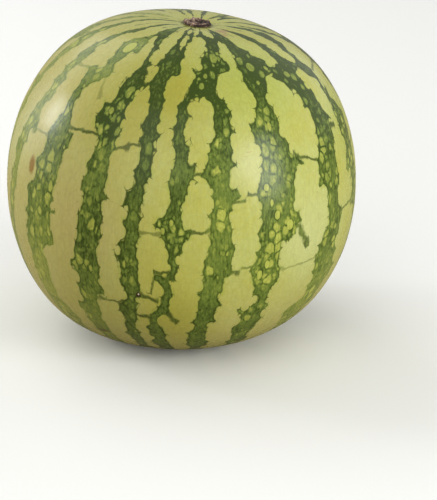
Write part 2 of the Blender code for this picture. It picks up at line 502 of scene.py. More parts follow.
FRONT_STRIPES = (
    Stripe(
        edges=(
            (3, -89, -85), (10, -87.6, -83), (20, -85.2, -79.8), (30, -85.5, -78.6), (45, -85, -79.5),
            (60, -87, -82), (75, -89, -83), (100, -92, -85), (130, -90, -84), (178, -90, -84),
        ),
        depth=((0, 0.9), (20, 0.62), (40, 0.44), (60, 0.37), (90, 0.35), (120, 0.42)),
    ),
    Stripe(
        edges=(
            (3, -59, -55), (8, -59.5, -55.7), (12, -60.4, -56.4), (17, -62.4, -58.5), (22, -64.9, -61),
            (30, -66.6, -61.9), (35, -68, -62), (45, -67, -61.6), (50, -66.8, -61.6), (55, -68, -63),
            (60, -69.3, -63.4), (65, -71, -62), (70, -72.5, -65.8), (75, -73, -66.8), (80, -72.5, -68),
            (90, -74, -68.5), (95, -74.5, -69), (100, -77, -71), (120, -76, -70), (178, -74, -68),
        ),
        depth=((0, 0.95), (20, 0.68), (35, 0.54), (75, 0.42), (110, 0.44)),
        net=((0, 0.1), (35, 0.4), (58, 0.7), (72, 0.7), (80, 0.2)),
    ),
    Stripe(
        edges=(
            (10, -40.4, -38), (15, -41.7, -38.5), (18, -43.3, -37.5), (20, -47.6, -37.6), (23, -49.6, -37),
            (25, -48.8, -36.6), (28, -46, -39), (30, -45.2, -41), (34, -46, -41.4), (36, -48, -40.4),
            (38, -53, -39), (40, -53, -43.5), (43, -51.7, -46), (46, -51.3, -47.5), (50, -52, -47.3),
            (55, -51.3, -46.7), (58, -51.3, -45.8), (60, -52, -43.5), (62, -54, -42), (64, -54.6, -43.5),
            (70, -53.8, -43.8), (73, -55, -44), (80, -55, -44.8), (83, -57, -45.2), (90, -58.3, -45.4),
            (95, -58.5, -46), (98, -60, -44.5), (99.5, -59.3, -42), (101, -59, -47.5), (105, -58.3, -50.2),
            (110, -57.5, -51), (115, -58.3, -50.2), (120, -58.8, -50), (125, -58, -49.2), (130, -57.5, -46),
            (135, -56, -45), (178, -54, -46),
        ),
        depth=(
            (10, 0.75), (20, 0.52), (30, 0.6), (38, 0.5), (48, 0.66), (62, 0.66), (80, 0.6), (100, 0.52),
            (107, 0.34), (122, 0.26), (135, 0.34),
        ),
        net=((0, 0.1), (18, 0.4), (30, 0.1), (52, 0.3), (60, 0.5), (80, 0.65), (100, 0.5), (112, 0.5)),
    ),
    Stripe(
        edges=(
            (3, -36, -33), (8, -40, -27.5), (12, -40.5, -27.5), (15, -39.5, -27.3), (17, -32, -27),
            (20, -30, -26.8), (25, -28.4, -26), (30, -27.4, -24.9), (34, -27.2, -24.4), (36.5, -28, -22),
            (38, -31.7, -21.5), (41, -31.2, -23), (45, -31.3, -23.8), (47, -34, -24.3), (50, -35.2, -24.6),
            (55, -35.7, -24.6), (58, -36.3, -24.7), (60, -34, -24.8), (62, -32, -24.2), (65, -31.5, -25.2),
            (68, -32, -25.8), (70, -33.3, -26), (75, -33.8, -24.6), (80, -33.5, -25.4), (85, -33.3, -25.8),
            (88, -34.3, -25.7), (95, -34.8, -26.3), (100, -35, -27.3), (103, -35.6, -27.4),
            (106.5, -36.8, -26.8), (108.5, -35.4, -26.3), (110, -34.8, -26.8), (113, -36.3, -27.2),
            (117, -35.4, -25.8),
            (119, -36, -29.2), (125, -37.5, -29.8), (135, -37.5, -30.4), (140, -36, -29.5), (178, -36, -29),
        ),
        depth=(
            (8, 0.8), (18, 0.95), (40, 0.95), (58, 0.88), (64, 0.66), (78, 0.68), (90, 0.78), (116, 0.6),
            (125, 0.5),
        ),
        net=((0, 0.05), (36, 0.2), (44, 0.8), (62, 0.7), (74, 0.4), (90, 0.6), (105, 0.6), (112, 0.3)),
    ),
    Stripe(
        edges=(
            (3, -17.4, -14.3), (8, -16.9, -14), (19, -16.6, -13.8), (21.5, -18, -9), (25, -18.8, -8.2),
            (31, -18.8, -7.8), (33, -19.5, -10.8), (35, -19.2, -11.8), (40, -16.8, -12.1), (45, -16.7, -11),
            (50, -16.3, -11), (55, -16.4, -11.4), (60, -17.5, -11.2), (63, -15.8, -11.5), (68, -16, -11.5),
            (73, -16.9, -12), (80, -17.5, -13.1), (90, -17.7, -12.7), (93, -18, -13), (96, -19.8, -13.1),
            (100, -19.6, -12.9), (106, -19.6, -12.9), (110, -17.9, -12.9), (115, -18.8, -13.3),
            (118, -21.3, -14.2), (122, -20.4, -14.8), (125, -20.4, -15.8), (130, -20.7, -16.7),
            (138, -20.8, -16), (178, -19, -14),
        ),
        depth=((30, 0.95), (60, 0.88), (80, 0.8), (100, 0.74)),
        net=((0, 0.1), (24, 0.45), (34, 0.3), (60, 0.1), (92, 0.2), (102, 0.6), (108, 0.2)),
    ),
    Stripe(
        edges=(
            (3, -8, -5.7), (9, -8.7, -5), (11, -8.5, -3.4), (14, -8.9, -6.2), (18, -9.4, -7.4),
            (23, -11, -8),
        ),
        net=((0, 0.0),),
    ),
    Stripe(
        edges=(
            (27, -0.4, 3), (30, -0.8, 6), (36, -1.2, 8), (40, -2.5, 3.5), (43.5, -2.8, -1), (46, -5.8, -1.6),
            (50, -5.8, -1.7), (55, -5, -1.5), (60, -4.6, 0), (64, -4.3, 0.8), (68, -4.3, 3.3),
            (70, -4.3, 2.5), (74, -4.4, 0.8), (80, -4.6, 0), (83, -6.6, 0), (86, -7.4, 1), (88, -7.2, 3.2),
            (90, -6, 2.2),
            (92, -5, 0.4), (95, -4.2, -0.8), (100, -2.9, -1.2), (102, -4.5, -1), (104, -8.2, -1.5),
            (106.5, -7.6, -2.8), (110, -5.4, -3.4), (115, -7, -3.1), (118, -9.2, -3.3), (122, -9.6, -3),
            (125, -11, -7.5), (130, -11, -5.4), (136, -10.5, -5.8), (178, -8, -4),
        ),
        net=((0, 0.8), (42, 0.7), (50, 0.1), (78, 0.2), (83, 1.0), (93, 0.8), (98, 0.1), (135, 0.1)),
    ),
    Stripe(
        edges=(
            (3, 4.5, 6.5), (8, 2, 7), (10, -2, 19), (12, 5, 21), (14, 7.5, 15.6), (18, 6, 15.5),
            (21, 4.2, 16.6), (26, 3.6, 17.5), (29, 1, 16.5), (30.5, -0.6, 9.8), (37, -0.6, 9.8),
            (39, 5, 11), (42, 8, 14.5), (45, 8.5, 15.4), (55, 8.5, 15.2), (60, 7, 15.2), (65, 6.4, 15),
            (68, 5.5, 14.8), (70, 8, 14.8), (73, 8.7, 15.8), (76, 9, 17), (78, 9, 15.8), (80, 9, 15),
            (83, 9, 13.8), (85, 8.8, 14.8), (90, 8.8, 15.8), (95, 8, 15.8), (100, 7.3, 16.4),
            (103, 7.3, 15.5), (105, 7.5, 13.8), (108, 7.2, 13.3), (110, 5, 13.3), (115, 6.3, 13.2),
            (120, 5.5, 12.9), (125, 5.8, 11.3), (130, 5, 10.7), (136, 2.5, 10), (178, 8, 12),
        ),
        depth=((35, 1.0), (48, 0.88), (60, 0.7), (80, 0.6), (108, 0.66), (118, 0.74)),
        net=((0, 0.1), (30, 0.7), (40, 0.2), (58, 0.4), (78, 0.4), (90, 0.6), (106, 0.4), (112, 0.15)),
    ),
    Stripe(
        edges=(
            (3, 23, 27), (8, 20, 33), (12, 22, 33.5), (15, 23.2, 34.3), (18, 24, 37), (20, 24.2, 39),
            (23, 24.6, 42), (27, 24.8, 44), (30.5, 24.5, 46), (32, 24.2, 36), (35, 23.8, 34.2),
            (37.5, 27.3, 33.5), (40, 27.9, 32.9), (43, 27, 33.5), (46, 25.4, 34), (48, 23.8, 34.2),
            (52, 23.2, 34.4), (55, 22.7, 35), (58, 24.5, 36.7), (60, 25, 37.5), (63, 25.1, 41.5),
            (66, 25.2, 44), (68, 25, 41), (70, 25, 37.8), (73, 23, 38.3), (76, 23, 37.6), (78, 25, 37),
            (80, 24.8, 37.2), (83, 24.6, 39), (86, 25.2, 41.6), (89, 24.8, 40.8), (91, 24.3, 36.5),
            (95, 24.8, 33.2), (100, 24, 32.5), (102.5, 22, 34), (105, 23.2, 34.5), (110, 23.8, 32.8),
            (113, 26.7, 31.7), (117, 26.7, 31.5), (120, 21.3, 31.5), (125, 21.8, 31), (130, 22.3, 30.5),
            (140, 22.5, 29.5), (178, 25, 31),
        ),
        # Painted sheen: paler round level 48, under the right window's reflection; lower down the stripe's
        # own mid green
        depth=((34, 1.0), (48, 0.78), (70, 0.72), (84, 0.62), (108, 0.62), (118, 0.7)),
        net=(
            (0, 0.1), (20, 0.5), (33, 0.5), (44, 0.3), (52, 0.5), (80, 0.6), (98, 0.8), (108, 0.8),
            (114, 0.1), (120, 0.6), (130, 0.3),
        ),
    ),
    Stripe(
        edges=(
            (3, 54, 57), (8, 53, 59.5), (12, 53.4, 61), (18, 54, 61), (25, 53, 61.2),
            (28, 51, 62), (30, 48, 65), (32, 43, 68), (33.5, 43, 63), (36, 47.8, 59), (40, 49.8, 59.3),
            (45, 51.3, 61.3), (50, 52.7, 62.3), (54, 53.2, 63.5), (57, 52.3, 65.2), (59, 52, 62),
            (65, 51, 61.5), (67.5, 48, 61.4), (70, 50.3, 61.3), (75, 49.2, 61.7), (77, 51.5, 60.3),
            (80, 53.6, 60.2), (85, 54.3, 60.2), (88, 54.5, 63), (90, 54, 63), (95, 52.9, 62),
            (100, 50.4, 61.3), (103, 48.8, 61.3), (106, 50.4, 62), (110, 50.8, 64), (113, 51, 65.8),
            (117, 51, 62), (120, 50.8, 61.3), (124, 45, 60.5), (130, 44, 58), (136, 46, 57), (178, 49, 55),
        ),
        # Painted reflection: paler below level 110, where a veil of reflected light lies over the stripe
        depth=((40, 1.0), (60, 0.85), (75, 0.7), (100, 0.64), (114, 0.48), (126, 0.42)),
        net=(
            (0, 0.1), (20, 0.3), (33, 0.4), (48, 0.3), (60, 0.6), (76, 0.5), (84, 0.3), (95, 0.5),
            (118, 0.5),
        ),
    ),
    Stripe(
        edges=(
            (3, 82, 86), (10, 80, 90), (15, 77.5, 88), (18, 75, 87), (20.5, 71.7, 84), (23, 71.3, 78),
            (26, 71.3, 76), (29, 71, 75), (31, 68, 75), (33, 65.6, 74.6), (35, 66.5, 74.4), (38, 71.5, 74.5),
            (45, 72.3, 74.8),
            (50, 71.8, 76.3), (53, 72, 79), (57, 71, 84), (60, 70, 79), (65, 71.5, 78.5), (70, 70, 80),
            (75, 69.2, 80), (78, 72.8, 81), (85, 74, 81), (88, 72, 81), (92, 75, 82), (97, 78, 84),
            (105, 76, 84), (115, 74, 83), (130, 73, 80), (178, 74, 79),
        ),
        depth=((35, 0.95), (60, 0.75), (80, 0.58)),
        net=((0, 0.1), (50, 0.5), (60, 0.6), (80, 0.5)),
    ),
)

THREADS = (
    Thread((38.2, -47.0), (38.5, -62.5), 0.9, 0.6),
    Thread((64.8, -53.0), (66.0, -64.0), 0.9, 0.6),
    Thread((60.4, -47.5), (59.0, -31.0), 1.4),
    Thread((36.0, -42.0), (47.5, -38.0), 1.8, 0.45),
    Thread((38.3, -26.5), (37.0, -17.5), 1.8),
    Thread((64.0, -27.0), (61.2, -20.0), 1.2, 0.8),
    Thread((61.2, -20.0), (59.4, -16.0), 1.1, 0.8),
    Thread((117.5, -28.5), (117.4, -19.0), 1.2, 0.8),
    Thread((89.0, -14.5), (88.4, -6.0), 1.3, 0.6),
    Thread((103.7, -8.4), (101.8, -1.6), 2.0),
    Thread((104.0, -8.2), (114.0, -9.6), 1.4, 0.8),
    Thread((112.0, -14.5), (115.4, -7.0), 1.8),
    Thread((121.6, -17.0), (125.0, -9.0), 2.3),
    Thread((119.5, -5.0), (126.4, -0.8), 2.2),
    Thread((67.1, 8.5), (68.6, 0.8), 1.1, 0.9),
    Thread((88.2, 0.5), (86.5, 10.5), 1.5, 0.9),
    Thread((75.5, 26.5), (74.8, 20.5), 1.2, 0.9),
    Thread((78.4, 14.0), (76.6, 19.8), 1.8, 0.9),
    Thread((103.4, 14.0), (103.2, 19.0), 1.5, 0.8),
    Thread((101.6, 25.5), (101.0, 19.5), 1.3, 0.7),
    Thread((63.2, 38.5), (65.2, 45.0), 2.2),
    Thread((64.8, 44.0), (68.0, 52.5), 1.3),
    Thread((87.0, 38.5), (96.8, 44.8), 3.3),
    Thread((104.4, 33.0), (103.7, 51.0), 0.9, 0.5),
    Thread((56.4, 61.0), (57.6, 66.5), 1.9),
    Thread((88.4, 60.0), (87.6, 76.0), 1.3, 0.8),
    Thread((4.0, 38.0), (10.0, 44.0), 0.7),
    Thread((3.0, 15.0), (9.5, 22.0), 0.9),
    Thread((3.0, 68.0), (9.0, 72.0), 0.8),
    Thread((3.0, -25.0), (9.0, -26.5), 0.7),
    Thread((3.0, -46.0), (9.0, -48.0), 0.8),
    Thread((3.0, -70.0), (14.0, -71.0), 0.8),
)

SPOTS = (
    Spot(12.8, -11.3, 12.0, 1.5, SpotKind.PALE),
    Spot(22.5, 10.6, 6.0, 2.1),
    Spot(24.2, -43.2, 4.6, 3.0),
    Spot(110.5, -6.9, 5.6, 2.3, SpotKind.PALE),
    Spot(119.0, -11.6, 6.4, 3.3, SpotKind.PALE),
    Spot(125.8, -5.4, 5.2, 3.6, SpotKind.PALE),
    Spot(27.2, 31.5, 3.2, 2.4),
    Spot(28.5, 41.0, 2.0, 1.3),
    Spot(36.0, 3.5, 2.4, 1.6),
    Spot(31.5, 5.2, 2.2, 1.3),
    Spot(34.5, 31.6, 1.7, 1.3),
    Spot(33.0, 52.0, 1.8, 2.2),
    Spot(94.2, 44.6, 2.1, 1.9),
    Spot(87.5, -5.9, 2.3, 1.5),
    Spot(84.5, -3.3, 2.2, 1.3),
    Spot(101.0, -17.8, 3.4, 1.0),
    Spot(87.2, 36.0, 3.2, 2.2),
    Spot(83.0, 31.0, 2.8, 1.8),
    Spot(105.0, 26.2, 3.4, 1.7),
    Spot(73.0, 27.0, 2.2, 1.8),
    Spot(101.0, 28.5, 2.9, 1.5),
    Spot(52.0, 30.5, 5.5, 1.3),
    Spot(78.5, 28.9, 2.4, 1.2),
    Spot(50.5, -30.5, 2.2, 1.6),
    Spot(57.0, -34.0, 2.1, 1.6),
)


@dataclass(frozen=True)
class BackStripes:
    """The rule for the stripes on the side that faces away, with a seeded draw.

    Levels and longitudes are in degrees. The pair levels is where a stripe wanders, depth_levels
    is where its depth is given, an end's pair is its level and half width, and the other pairs
    are the ranges of draws.
    """

    first: float = 94.0
    last: float = 262.0
    count: int = 10
    off_centre: float = 1.5
    levels: Pair = (8.0, 140.0)
    row_step: float = 5.5
    row_steps: Pair = (0.6, 1.3)
    half_width: float = 4.3
    half_widths: Pair = (0.55, 1.35)
    growing: Curve = ((5.0, 0.35), (32.0, 1.0))
    stem_end: Pair = (3.0, 1.1)
    blossom_end: Pair = (178.0, 2.5)
    wander: float = 1.4
    memory: float = 0.7
    link_chance: float = 0.16
    link_reach: float = 5.0
    net_levels: range = range(20, 140, 14)
    depths: Pair = (0.75, 1.0)
    depth_levels: Pair = (35.0, 70.0)
    depth_loss: float = 0.15
    faint_from: float = 225.0
    faint_depth: float = 0.45
    thread_inset: float = 2.0
    thread_tilt: float = 4.0
    thread_tops: Pair = (26.0, 40.0)
    thread_steps: Pair = (22.0, 46.0)
    thread_last: float = 130.0
    thread_widths: Pair = (0.7, 1.6)
    thread_strengths: Pair = (0.6, 1.0)

    def make(self, rng: np.random.Generator) -> tuple[Stripe, ...]:
        """Grow the stripes.

        Args:
            rng: The seeded source of chance.

        Returns:
            The stripes, from left to right as seen from behind.
        """
        stripes = []
        for middle in np.linspace(self.first, self.last, self.count):
            edges = self.wandering_edges(middle + rng.uniform(-self.off_centre, self.off_centre), rng)
            net = tuple((float(at), float(rng.uniform(0.0, 1.0))) for at in self.net_levels)
            deepest = self.faint_depth if middle > self.faint_from else rng.uniform(*self.depths)
            upper, lower = self.depth_levels
            depth = ((upper, deepest), (lower, deepest - self.depth_loss))
            stripes.append(Stripe(edges=edges, depth=depth, net=net))
        return tuple(stripes)

    def wandering_edges(self, centre: float, rng: np.random.Generator) -> Edges:
        """Let one stripe wander down the fruit, with links that reach out of it here and there.

        Args:
            centre: The stripe's longitude.
            rng: The seeded source of chance.

        Returns:
            Rows of level, left edge and right edge.
        """
        level, half = self.stem_end
        rows = [(level, centre - half, centre + half)]
        level, drift = self.levels[0], 0.0
        while level < self.levels[1]:
            drift = self.memory * drift + rng.uniform(-self.wander, self.wander)
            half = self.half_width * rng.uniform(*self.half_widths) * float(read_curve(self.growing, level))
            left, right = centre + drift - half, centre + drift + half
            if rng.random() < self.link_chance:
                left -= self.link_reach
            elif rng.random() < self.link_chance:
                right += self.link_reach
            rows.append((level, left, right))
            level += self.row_step * rng.uniform(*self.row_steps)
        level, half = self.blossom_end
        rows.append((level, centre - half, centre + half))
        return tuple(rows)

    def threads(self, rng: np.random.Generator) -> tuple[Thread, ...]:
        """Draw the thin lines across the pale bands between these stripes.

        Args:
            rng: The seeded source of chance.

        Returns:
            The threads.
        """
        gap = (self.last - self.first) / (self.count - 1)
        threads = []
        for band in range(self.count + 1):
            left = self.first + (band - 1) * gap
            level = rng.uniform(*self.thread_tops)
            while level < self.thread_last:
                tilt = rng.uniform(-self.thread_tilt, self.thread_tilt)
                width = rng.uniform(*self.thread_widths)
                start = (level - tilt, left + self.thread_inset)
                end = (level + tilt, left + gap - self.thread_inset)
                threads.append(Thread(start, end, width, rng.uniform(*self.thread_strengths)))
                level += rng.uniform(*self.thread_steps)
        return tuple(threads)


@dataclass(frozen=True)
class RindFields:
    """What the rind's material reads at each vertex."""

    growth: np.ndarray
    ground: np.ndarray
    spots: np.ndarray
    net: np.ndarray
    depth: np.ndarray
    thread_side: np.ndarray
    thread_room: np.ndarray


@dataclass
class RindPattern:
    """Lays the pale ground, the stripes, the beads and the threads out on the fruit.

    Shapes are measured in a space of their own, the growth space, in millimetres. It is as
    wide as the rind at the widest circle and shorter along the fruit, so that round shapes
    in it are long on the rind, and it closes in only slowly towards both ends, so that
    shapes there become narrow. The pale ground is where the ground field is above 0.
    """

    form: FruitForm
    back_seed: int = 41
    bead_seed: int = 44
    stretch: float = 1.4
    end_size: float = 55.0
    least_fall: float = 0.05
    runs_to_stem: float = 5.0
    runs_to_blossom: float = 170.0
    bead_spacing: float = 4.3
    bead_row_share: float = 0.87
    bead_disorder: float = 0.2
    bead_least_depth: float = 1.15
    bead_most_depth: float = 6.0
    bead_overhangs: Pair = (-0.2, 1.0)
    bead_largest: float = 4.4
    bead_margin: float = 1.0
    beads_compared: int = 6
    ground_margin: float = 2.3
    ground_margin_share: Curve = ((8.0, 0.45), (40.0, 1.0))
    net_fade: Pair = (0.5, 2.0)
    thread_reach: float = 2.8
    thread_room: float = 0.5
    thread_slimness: float = 0.8
    thread_flare: float = 1.7
    thread_fall_past_end: float = 3.0
    thread_fall_below: float = 0.3
    spot_steepness: float = 1.8
    spot_inset: float = 0.2
    no_stripe: float = 99.0
    far_off: float = -9.0
    rng: np.random.Generator = field(init=False)
    stripes: tuple[Stripe, ...] = field(init=False)
    threads: tuple[Thread, ...] = field(init=False)
    profile: np.ndarray = field(init=False)

    def __post_init__(self) -> None:
        """Grow the back stripes, join them to those in front and set up the growth space."""
        back, rng = BackStripes(), np.random.default_rng(self.back_seed)
        self.stripes = FRONT_STRIPES + back.make(rng)
        self.threads = THREADS + back.threads(rng)
        self.rng = np.random.default_rng(self.bead_seed)
        self.profile = self.growth_profile()

    def growth_profile(self) -> np.ndarray:
        """Work out the growth space's width and depth from the stem end down.

        Returns:
            Rows of level, width and depth.
        """
        level = np.linspace(0.0, math.pi, PROFILE_POINTS)
        radius, down = self.form.radius(level) / MM, self.form.way_down(level) / MM
        widest = self.form.girth_radius / MM
        width = np.hypot(radius, self.end_size) * widest / math.hypot(widest, self.end_size)
        slope = np.gradient(width, down)
        fall = np.sqrt(np.maximum(1.0 / self.stretch**2 - slope**2, self.least_fall))
        depth = np.concatenate([[0.0], np.cumsum((fall[1:] + fall[:-1]) / 2 * np.diff(down))])
        return np.stack([level, width, depth], axis=1)

    def width_at(self, level: np.ndarray) -> np.ndarray:
        """Return the growth space's distance from its axis at each level."""
        return np.interp(level, self.profile[:, 0], self.profile[:, 1])

    def growth(self, level: np.ndarray, longitude: np.ndarray) -> np.ndarray:
        """Return places in the growth space.

        Args:
            level: Levels in radians.
            longitude: Longitudes in radians.

        Returns:
            Rows in millimetres.
        """
        width = self.width_at(level)
        depth = np.interp(level, self.profile[:, 0], self.profile[:, 2])
        return np.stack([width * np.sin(longitude), -width * np.cos(longitude), -depth], axis=1)

    def stripe_distance(
        self, level: np.ndarray, longitude: np.ndarray
    ) -> tuple[np.ndarray, np.ndarray, np.ndarray]:
        """Measure how far each place lies outside the nearest stripe.

        Args:
            level: Levels in radians.
            longitude: Longitudes in radians.

        Returns:
            The distance in millimetres, below 0 inside a stripe, and that stripe's depth and net.
        """
        level_deg, longitude_deg = np.degrees(level), np.degrees(longitude)
        mm_per_degree = self.width_at(level) * math.pi / 180.0
        nearest = np.full(len(level), self.no_stripe)
        depth, net = np.ones(len(level)), np.zeros(len(level))
        for stripe in self.stripes:
            left, right = stripe.edges_at(level_deg)
            offset = (longitude_deg - (left + right) / 2 + 180.0) % 360.0 - 180.0
            outside = (np.abs(offset) - (right - left) / 2) * mm_per_degree
            first, last = stripe.edges[0][0], stripe.edges[-1][0]
            if first > self.runs_to_stem:
                outside = np.where(level_deg < first, self.no_stripe, outside)
            if last < self.runs_to_blossom:
                outside = np.where(level_deg > last, self.no_stripe, outside)
            closer = outside < nearest
            nearest = np.where(closer, outside, nearest)
            depth = np.where(closer, read_curve(stripe.depth, level_deg), depth)
            net = np.where(closer, read_curve(stripe.net, level_deg), net)
        return nearest, depth, net

    def thread_fields(self, growth: np.ndarray) -> tuple[np.ndarray, np.ndarray]:
        """Measure each place's distance to the left or right of the nearest thread's line.

        Args:
            growth: Rows of the growth space.

        Returns:
            The distance in thread widths, with a sign, and the room: above 0 near a thread.
        """
        room = np.full(len(growth), -1.0)
        side = np.full(len(growth), -self.far_off)
        for thread in self.threads:
            ends = np.radians(np.array([thread.start, thread.end]))
            start, end = self.growth(ends[:, 0], ends[:, 1])
            along = end - start
            length = np.linalg.norm(along)
            outward = (start + end) * np.array([1.0, 1.0, 0.0])
            across = np.cross(along, outward)
            across /= np.linalg.norm(across)
            offset = growth - start
            share = offset @ along / length**2
            past_end = np.maximum(np.abs(share - 0.5) - 0.5, 0.0) * length
            signed = offset @ across
            below = np.sqrt(np.maximum((offset**2).sum(axis=1) - signed**2 - (share * length) ** 2, 0.0))
            this_room = self.thread_reach - np.abs(signed)
            this_room = this_room - self.thread_fall_past_end * past_end - self.thread_fall_below * below
            this_room = np.minimum(this_room, self.thread_room * thread.strength)
            flare = self.thread_flare * np.clip(np.abs(2.0 * share - 1.0), 0.0, 1.0) ** 4
            taken = this_room > room
            room = np.where(taken, this_room, room)
            side = np.where(taken, signed / (self.thread_slimness * thread.width + flare), side)
        return side, room

    def scattered_beads(self) -> tuple[np.ndarray, np.ndarray]:
        """Scatter places over the fruit, in even rows of the growth space with some disorder.

        Returns:
            Levels and longitudes in radians.
        """
        level, width, depth = self.profile.T
        spacing = self.bead_spacing
        levels, longitudes = [], []
        for down in np.arange(spacing / 2, depth[-1], spacing * self.bead_row_share):
            count = max(3, round(2.0 * math.pi * np.interp(down, depth, width) / spacing))
            turn = self.rng.uniform(0.0, 2.0 * math.pi)
            push = self.rng.normal(0.0, self.bead_disorder, (2, count))
            longitudes.append(turn + 2.0 * math.pi / count * (np.arange(count) + push[0]))
            levels.append(np.interp(down + spacing * push[1], depth, level))
        return np.concatenate(levels), np.concatenate(longitudes)

    def bead_field(self, growth: np.ndarray, outside: np.ndarray) -> np.ndarray:
        """Measure how deep each place lies inside the beads of pale ground along the stripes.

        Args:
            growth: Rows of the growth space.
            outside: Their distances from the nearest stripe.

        Returns:
            Depths in millimetres, above 0 inside a bead.
        """
        level, longitude = self.scattered_beads()
        room = self.stripe_distance(level, longitude)[0]
        kept = (room > self.bead_least_depth) & (room < self.bead_most_depth)
        centres = self.growth(level, longitude)[kept]
        overhang = self.rng.uniform(*self.bead_overhangs, kept.sum())
        radii = np.minimum(room[kept] + overhang, self.bead_largest)
        tree = kdtree.KDTree(len(centres))
        for index, centre in enumerate(centres):
            tree.insert(centre, index)
        tree.balance()

        depth = np.full(len(growth), self.far_off)
        for row in np.nonzero(np.abs(outside) < self.bead_largest + self.bead_margin)[0]:
            found = tree.find_n(growth[row], self.beads_compared)
            depth[row] = max(radii[index] - distance for _, index, distance in found)
        return depth

    def spot_field(self, growth: np.ndarray, kind: SpotKind) -> np.ndarray:
        """Measure how deep each place lies inside the single spots of one kind.

        Args:
            growth: Rows of the growth space.
            kind: Which spots are used.

        Returns:
            Depths in millimetres, above 0 inside a spot.
        """
        deepest = np.full(len(growth), self.far_off)
        for spot in (spot for spot in SPOTS if spot.kind is kind):
            place = np.radians([[spot.level, spot.longitude]])
            level, longitude = place[:, 0], place[:, 1]
            widening = float(self.width_at(level)[0] / (self.form.radius(level)[0] / MM))
            offset = growth - self.growth(level, longitude)[0]
            down = np.abs(offset[:, 2]) * self.stretch / spot.half_length
            across = np.linalg.norm(offset[:, :2], axis=1) / (spot.half_width * widening)
            depth = (1.0 - np.hypot(down, across)) * spot.half_width * self.spot_steepness
            deepest = np.maximum(deepest, depth)
        return deepest

    def lay_out(self, level: np.ndarray, longitude: np.ndarray) -> RindFields:
        """Work out all the fields of the rind.

        Args:
            level: The vertices' levels in radians.
            longitude: The vertices' longitudes in radians.

        Returns:
            The fields, one value for each vertex.
        """
        growth = self.growth(level, longitude)
        outside, depth, net = self.stripe_distance(level, longitude)
        margin = self.ground_margin * read_curve(self.ground_margin_share, np.degrees(level))
        ground = np.maximum(self.bead_field(growth, outside), outside - margin)
        ground = np.maximum(ground, self.spot_field(growth, SpotKind.PALE))
        side, room = self.thread_fields(growth)
        return RindFields(
            growth=growth,
            ground=ground,
            spots=np.minimum(self.spot_field(growth, SpotKind.LIME), -ground - self.spot_inset),
            net=net * smooth_step(-ground, *self.net_fade),
            depth=depth,
            thread_side=side,
            thread_room=room,
        )


Socket = bpy.types.NodeSocket
Value = Any


